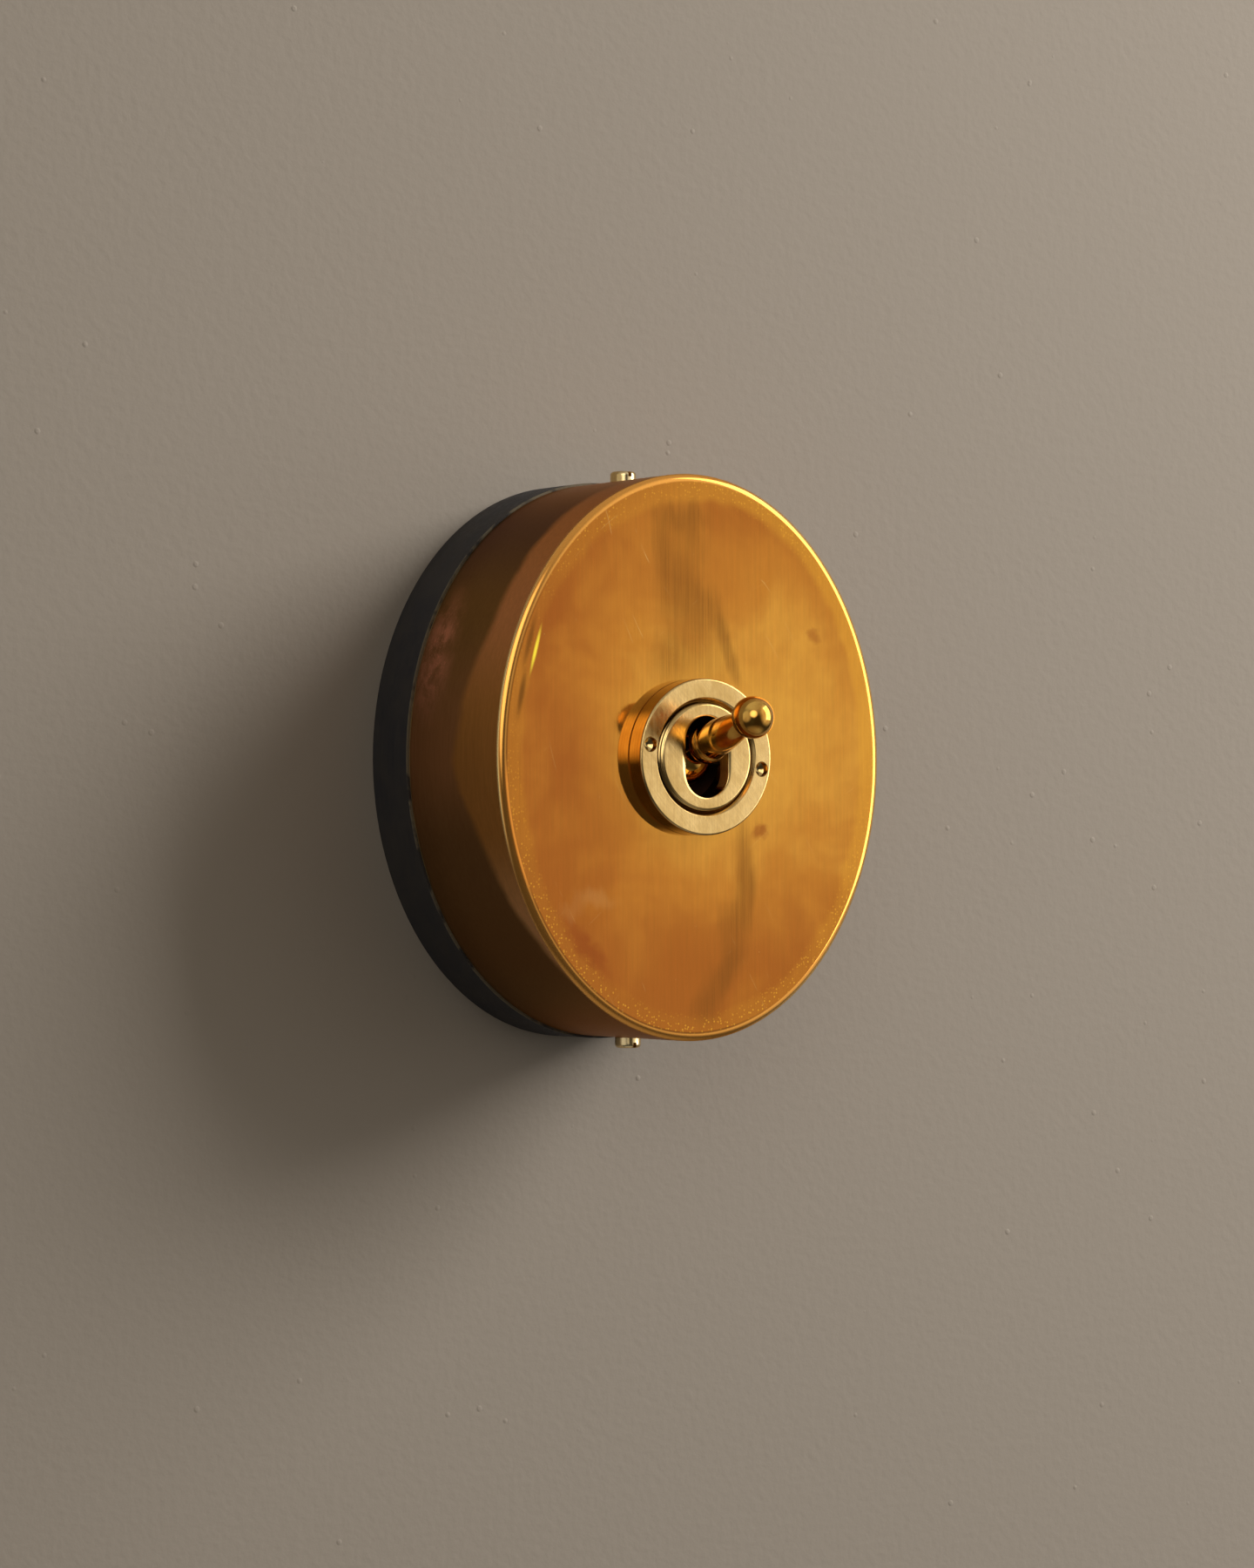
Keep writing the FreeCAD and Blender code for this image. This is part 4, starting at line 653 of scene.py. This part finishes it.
def lockRingPatches():
    ring = lockRing
    bore, radius, rear, front, chamfer = (ring[key] for key in ("bore", "radius", "rear", "front", "rearChamfer"))
    start = math.radians(ring["holeAngle"]) + math.pi / 2
    angles = start + np.linspace(0, fullTurn, ring["columns"] + 1)
    outerFace, mouthTop = radius - ring["edge"] - ring["faceEase"], bore + ring["mouth"]
    innerFace = mouthTop + ring["mouthEase"]
    outside = roundedProfile([(bore, rear, 0), (radius - chamfer, rear, 0.05), (radius, rear + chamfer, 0.05),
                              (radius, front, ring["edge"]), (outerFace, front, 0)])
    inside = roundedProfile([(innerFace, front, 0), (mouthTop, front, 0.12), (bore, front - ring["mouth"], 0.1),
                             (bore, rear, 0)])
    patches = [turned(outside, angles), turned(inside, angles)]
    # face: rings of points, with a window of cells round each spanner hole
    face = turned(np.stack([np.linspace(innerFace, outerFace, 9), np.full(9, front)], -1), angles)
    quarter, reach = ring["columns"] // 4, ring["window"]
    cuts = [0, quarter - reach, quarter + reach, 3 * quarter - reach, 3 * quarter + reach, ring["columns"]]
    patches += [face[cuts[k]:cuts[k + 1] + 1] for k in (0, 2, 4)]
    # drilled hole: eased rim, straight wall, then the cone of a drill point
    hole, depth, ease, point = (ring[key] for key in ("holeRadius", "holeDepth", "holeEase", "drillPoint"))
    steps = [(hole + ease, 0.0), (hole, ease), (hole, 0.2), (hole, depth), (hole / 2, depth + point / 2),
             (0.0, depth + point)]
    for k in (1, 3):
        loop = windowLoop(face[cuts[k]:cuts[k + 1] + 1])
        middle = angles[(cuts[k] + cuts[k + 1]) // 2]
        centre = np.array([ring["holeCircle"] * math.cos(middle), 0, ring["holeCircle"] * math.sin(middle)])
        arm = (loop - centre) * [1, 0, 1]
        arm /= np.linalg.norm(arm, axis=1, keepdims=True)
        drilled = np.stack([centre + arm * away + [0, down - front, 0] for away, down in steps])
        share = np.linspace(0, 1, 4)[:, None, None]
        patches += [loop * (1 - share) + drilled[0] * share, drilled]
    return patches


buildPiece("lockRing", lockRingPatches(), "housing", "lock_ring", "brushed_brass")


# threaded bush

bush = {"radius": 9.5, "front": 47.1, "edge": 0.6, "wallBack": 44.5, "bore": 7.6, "flange": 14.5, "rear": 39.3,
        "flangeFront": 41.2, "slotHalf": 4.45, "slotRun": 2.7, "bevel": 0.16, "pitch": 0.95, "threadDepth": 0.42,
        "threadStart": 0.55, "threadLead": 0.4, "fineFrom": 45.0, "columns": 320}


# a ray at angle a leaves the slot on a straight side at half / |cos a|, or on a round end at
# run |sin a| + sqrt(half^2 - run^2 cos^2 a)
def slotRim(angles, grow, depth):
    half, run = bush["slotHalf"] + grow, bush["slotRun"]
    cosine, sine = abs(np.cos(angles)), abs(np.sin(angles))
    straight = sine * half <= run * cosine
    ends = run * sine + np.sqrt(np.maximum(half ** 2 - run ** 2 * cosine ** 2, 0))
    radius = np.where(straight, half / np.maximum(cosine, 1e-6), ends)
    return np.stack([radius * np.cos(angles), np.full_like(angles, -depth), radius * np.sin(angles)], -1)


# thread: a rounded groove whose place along the barrel moves one pitch each turn, cut off by the rounded front edge
def threadedBarrel(angles):
    outer, edge, foot, fine = (bush[key] for key in ("radius", "edge", "flangeFront", "fineFrom"))
    bend = bush["front"] - edge
    straight = np.concatenate([np.linspace(foot, fine, 40)[:-1], np.linspace(fine, bend, 60)])
    swing = np.linspace(0, math.pi / 2, 25)[1:]
    depth = np.concatenate([straight, bend + edge * np.sin(swing)])
    limit = np.concatenate([np.full(len(straight), outer), outer - edge * (1 - np.cos(swing))])
    phase = (depth[None] - foot) / bush["pitch"] - angles[:, None] / fullTurn + bush["threadStart"]
    groove = bush["threadDepth"] * (0.5 + 0.5 * np.cos(fullTurn * phase)) ** 1.5
    groove *= np.clip((depth - foot) / bush["threadLead"], 0, 1)
    radius = np.minimum(limit[None], outer - groove)
    radius[:, -1] = limit[-1]
    return np.stack([radius * np.cos(angles)[:, None], np.broadcast_to(-depth, radius.shape),
                     radius * np.sin(angles)[:, None]], -1)


def bushPatches():
    front, bevel, bore, wallBack = (bush[key] for key in ("front", "bevel", "bore", "wallBack"))
    angles = np.linspace(0, fullTurn, bush["columns"] + 1)
    share = np.linspace(0, 1, 7)[:, None, None]
    faceRim = turned(np.array([[bush["radius"] - bush["edge"], front]]), angles)[:, 0]
    top, back = slotRim(angles, bevel, front), slotRim(angles, 0.0, wallBack)
    boreRim = turned(np.array([[bore, wallBack]]), angles)[:, 0]
    wall = np.stack([top, slotRim(angles, 0.0, front - bevel), slotRim(angles, 0.0, front - bevel - 0.1), back])
    rear = roundedProfile([(bore, wallBack, 0), (bore, bush["rear"], 0.1),
                           (bush["flange"], bush["rear"], 0.2), (bush["flange"], bush["flangeFront"], 0.2),
                           (bush["radius"], bush["flangeFront"], 0)])
    return [threadedBarrel(angles), faceRim * (1 - share) + top * share, wall,
            back * (1 - share) + boreRim * share, turned(rear, angles)]


buildPiece("threadedBush", bushPatches(), "housing", "threaded_bush", "brushed_brass", sharpAngle=80)


# dolly lever, along its own axis from the pivot

lever = {"pivotDepth": 39.3, "tilt": 16.5, "ball": 3.7, "ballAt": 23.0, "neck": 1.9, "flankArc": 40.0,
         "shoulder": 3.3, "shoulderAt": 9.6, "beadArc": 2.4, "ridge": 3.65, "ridgeAt": 8.4, "underArc": 2.2,
         "waist": 2.6, "waistAt": 6.2, "pivotBall": 5.0, "tail": 3.2, "tailEnd": -10.5, "tailEdge": 0.1, "bore": 2.01,
         "boreEnd": -2.0, "columns": 96}


def leverPatches():
    tip, tipAt, neck, waist, pivot = (lever[key] for key in ("ball", "ballAt", "neck", "waist", "pivotBall"))
    outer, end, edge, bore, floor = (lever[key] for key in ("tail", "tailEnd", "tailEdge", "bore", "boreEnd"))
    swing = np.linspace(0, math.pi - math.asin(neck / tip), 49)
    ball = np.stack([tip * np.sin(swing), tipAt + tip * np.cos(swing)], -1)
    corners = [(neck, tipAt - math.sqrt(tip ** 2 - neck ** 2))]
    corners += [(lever[key], lever[key + "At"]) for key in ("shoulder", "ridge", "waist")]
    flank = bulge(corners[0], corners[1], lever["flankArc"], 25)
    bead = bulge(corners[1], corners[2], lever["beadArc"], 9)
    under = bulge(corners[2], corners[3], lever["underArc"], 13)
    swing = np.linspace(math.asin(waist / pivot), math.pi - math.asin(outer / pivot), 33)
    pivotBall = np.stack([pivot * np.sin(swing), pivot * np.cos(swing)], -1)
    tail = np.array([(outer, end + edge), (outer - edge, end), (bore, end), (bore, floor), (0, floor)])
    profile = np.concatenate([ball, flank[1:], bead[1:], under[1:], pivotBall, tail])
    angles = np.linspace(0, fullTurn, lever["columns"] + 1)
    # the axis leans up from straight out: along = (0, -cos tilt, sin tilt), aside = (0, sin tilt, cos tilt)
    tilt = math.radians(lever["tilt"])
    along, aside = np.array([0, -math.cos(tilt), math.sin(tilt)]), np.array([0, math.sin(tilt), math.cos(tilt)])
    radius, reach = profile[:, 0], profile[:, 1]
    points = np.outer(np.cos(angles), radius)[..., None] * [1, 0, 0]
    points = points + np.outer(np.sin(angles), radius)[..., None] * aside + reach[None, :, None] * along
    return [points + [0, -lever["pivotDepth"], 0]]


buildPiece("dollyLever", leverPatches(), "lever", "dolly_lever", "polished_brass", sharpAngle=50)


# cover screws

coverScrew = {"head": 2.35, "height": 1.9, "edge": 0.7, "slotHalf": 0.35, "slotDepth": 1.0, "shank": 1.25,
              "length": 7.0, "tip": 0.4, "seat": 50.0, "depth": 20.6}


# the head is a flat top with a rounded rim; each side of the slot is filled with chords from the slot to the rim
def screwPatches():
    screw = coverScrew
    head, top, edge, slot = screw["head"], screw["height"], screw["edge"], screw["slotHalf"]
    floor = top - screw["slotDepth"]

    def crownHeight(radius):
        past = np.clip(radius - head + edge, 0, edge)
        return top - edge + np.sqrt(np.maximum(edge ** 2 - past ** 2, 0))

    span = math.acos(slot / head)
    around = np.linspace(-span, span, 41)
    along, rim = head * np.sin(around), head * np.cos(around)
    share = np.sin(np.linspace(0, math.pi / 2, 21))
    across = slot + (rim - slot)[:, None] * share
    run = np.broadcast_to(along[:, None], across.shape)
    halfTop = np.stack([across, run, crownHeight(np.hypot(across, run))], -1)
    halfTop[:, -1, 2] = top - edge
    halfTop[[0, -1], :, 2] = top - edge
    wallTop = crownHeight(np.hypot(slot, along))
    wallTop[[0, -1]] = top - edge

    def chordEnds(width, height):
        return np.stack(np.broadcast_arrays(width, along, height), -1)

    slotWall = np.stack([chordEnds(slot, wallTop), chordEnds(slot, floor)])
    sideWall = np.stack([chordEnds(rim, level) for level in (top - edge, floor, 0.0)])
    half = [halfTop, slotWall, sideWall]
    mirror = [patch * [-1, 1, 1] for patch in half]
    floorPatch = np.stack([slotWall[1], slotWall[1] * [-1, 1, 1]])
    gap = np.linspace(-math.asin(slot / head), math.asin(slot / head), 2)
    ends = [np.stack([np.stack([head * np.sin(gap), sign * head * np.cos(gap), np.full(2, level)], -1)
                      for level in (floor, 0.0)]) for sign in (1, -1)]
    ring = np.concatenate([sideWall[2], mirror[2][2][::-1], sideWall[2][:1]])
    bearing = np.arctan2(ring[:, 1], ring[:, 0])
    radius, tip, length = screw["shank"], screw["tip"], screw["length"]
    shank = np.array([(radius, 0.0), (radius, tip - length), (radius - tip, -length), (0.0, -length)])
    stem = np.stack([np.outer(shank[:, 0], np.cos(bearing)), np.outer(shank[:, 0], np.sin(bearing)),
                     np.repeat(shank[:, 1:], len(bearing), 1)], -1)
    stem = np.concatenate([ring[None], stem])
    parts = half + mirror + [floorPatch] + ends + [stem]
    # head axis along Z, slot along Y: the upper screw as drawn, the lower one turned about Y
    upper = [patch + [0, -screw["depth"], screw["seat"]] for patch in parts]
    return upper + [patch * [-1, 1, -1] for patch in upper]


buildPiece("coverScrews", screwPatches(), "housing", "cover_screws", "screw_brass")


# wall, lights, world and camera

wall = {"colour": rgb(162, 153, 143), "reach": 2200.0, "behind": 0.06, "gap": -0.35, "rippleScale": 0.55,
        "pimples": dict(Size=0.14, Share=0.45, Radius=0.09), "pimpleHeight": 1.5}


def makeWall():
    angles = np.linspace(0, fullTurn, 121)
    inner = ovalPoint(angles, wall["gap"], -wall["behind"])
    outer = np.stack([np.cos(angles), np.full_like(angles, wall["behind"] / wall["reach"]), np.sin(angles)], -1)
    share = (np.linspace(0, 1, 9) ** 3)[:, None, None]
    patch = inner * (1 - share) + outer * wall["reach"] * share
    mesh = bpy.data.meshes.new("wall")
    mesh.from_pydata((patch.reshape(-1, 3) * mm).tolist(), [], gridFaces(*patch.shape[:2], 0).tolist())
    if mesh.polygons[0].normal.y > 0:
        mesh.flip_normals()
    made = bpy.data.objects.new("wall", mesh)
    scene.collection.objects.link(made)
    material, tree, shader, spot = startMaterial("wallPaint", 0.0, 0.85)
    ripple = noise(tree, spot, wall["rippleScale"], 3.0)
    pimples = effect(tree, "speck", Place=spot, **wall["pimples"])
    bumpOn(tree, shader, calc(tree, "MULTIPLY_ADD", pimples, wall["pimpleHeight"], ripple), 0.25, 0.4)
    shader.inputs["Base Color"].default_value = wall["colour"]
    behind = place(tree, "ShaderNodeNewGeometry").outputs["Backfacing"]
    clear = place(tree, "ShaderNodeBsdfTransparent").outputs[0]
    both = place(tree, "ShaderNodeMixShader", {0: behind, 1: shader.outputs[0], 2: clear}).outputs[0]
    tree.links.new(both, tree.nodes["Material Output"].inputs["Surface"])
    mesh.materials.append(material)


makeWall()

room = {
    "ambient": 0.06, "colour": (1.0, 0.975, 0.94, 1.0), "fill": (1.0, 0.89, 0.72, 1.0), "diffuseShare": 0.4,
    "backdrop": 0.42,
    # direction, cosine where the glow starts, cosine where it is full, strength
    "glows": [((0.736, -0.663, 0.139), 0.669, 0.978, 1.05), ((-0.95, -0.3, 0.07), 0.82, 0.975, 0.56),
              ((0.0, -0.3, 0.95), 0.35, 0.9, 0.5), ((0.0, -0.1, -0.99), 0.7, 0.97, 0.32),
              ((-0.48, -0.82, 0.309), 0.915, 0.992, 2.5), ((0.0, 1.0, 0.0), 0.0, 0.5, 2.0)],
}


def makeWorld():
    world = bpy.data.worlds.new("room")
    scene.world = world
    world.use_nodes = True
    tree = world.node_tree
    way = place(tree, "ShaderNodeTexCoord").outputs["Generated"]
    level = None
    for direction, start, full, strength in room["glows"]:
        facing = calcVector(tree, "DOT_PRODUCT", way, Vector(direction).normalized(), output="Value")
        glow = ramp(tree, facing, start, full, 0.0, strength)
        level = calc(tree, "ADD", glow, level if level is not None else room["ambient"])
    # the glows are there for the metal to mirror: paint and plastic get only a share of them, and warmer
    path = place(tree, "ShaderNodeLightPath").outputs
    level = times(tree, level, calc(tree, "MULTIPLY_ADD", path["Is Diffuse Ray"], room["diffuseShare"] - 1.0, 1.0))
    level = place(tree, "ShaderNodeMix", {0: path["Is Camera Ray"], 2: level, 3: room["backdrop"]}).outputs[0]
    shade = tint(tree, path["Is Diffuse Ray"], room["colour"], room["fill"])
    tree.links.new(shade, tree.nodes["Background"].inputs["Color"])
    tree.links.new(level, tree.nodes["Background"].inputs["Strength"])


makeWorld()

lamps = {
    "key": dict(way=(0.74, -0.481, 0.469), far=1.2, size=(0.7, 0.6), power=14.8, colour=(1.0, 0.97, 0.92), seen="matt"),
    "softbox": dict(way=(0.74, -0.481, 0.469), far=1.25, size=(0.72, 0.62), power=5.0, colour=(1.0, 0.97, 0.92),
                    seen="metal"),
    "window": dict(way=(0.83, -0.555, 0.05), far=1.2, size=(0.66, 0.5), power=4.2, colour=(1.0, 0.98, 0.95),
                   seen="metal"),
}


def makeLamp(name, way, far, size, power, colour, seen):
    data = bpy.data.lights.new(name, "AREA")
    data.shape = "RECTANGLE"
    data.size, data.size_y = size
    data.energy, data.color = power, colour
    lamp = bpy.data.objects.new(name, data)
    scene.collection.objects.link(lamp)
    lamp.location = Vector(way).normalized() * far
    lamp.rotation_euler = Vector(way).to_track_quat("Z", "Y").to_euler()
    lamp.visible_camera = False
    lamp.visible_diffuse, lamp.visible_glossy = seen == "matt", seen == "metal"


for name, values in lamps.items():
    makeLamp(name, **values)

camera = {"azimuth": -32.64, "elevation": -0.925, "roll": -0.485, "distance": 850.0, "target": (0, -15.0, 0),
          "sensor": 36.0, "lens": 107.72, "aimAcross": 21.0 / 5386, "aimUp": -27.4 / 5386}


def makeCamera():
    data = bpy.data.cameras.new("camera")
    data.sensor_fit, data.sensor_width, data.lens = "AUTO", camera["sensor"], camera["lens"]
    data.clip_start = 0.01
    made = bpy.data.objects.new("camera", data)
    scene.collection.objects.link(made)
    azimuth, elevation, roll = (math.radians(camera[key]) for key in ("azimuth", "elevation", "roll"))
    back = Vector((math.sin(azimuth) * math.cos(elevation), -math.cos(azimuth) * math.cos(elevation),
                   math.sin(elevation)))
    right = Vector((math.cos(azimuth), math.sin(azimuth), 0))
    up = back.cross(right)
    right, up = right * math.cos(roll) + up * math.sin(roll), up * math.cos(roll) - right * math.sin(roll)
    stand = (Vector(camera["target"]) + back * camera["distance"]) * mm
    back = (back - right * camera["aimAcross"] - up * camera["aimUp"]).normalized()
    right = up.cross(back).normalized()
    up = back.cross(right)
    made.matrix_world = Matrix((right, up, back)).transposed().to_4x4()
    made.location = stand
    scene.camera = made


makeCamera()
print("stage, lights and camera ready")
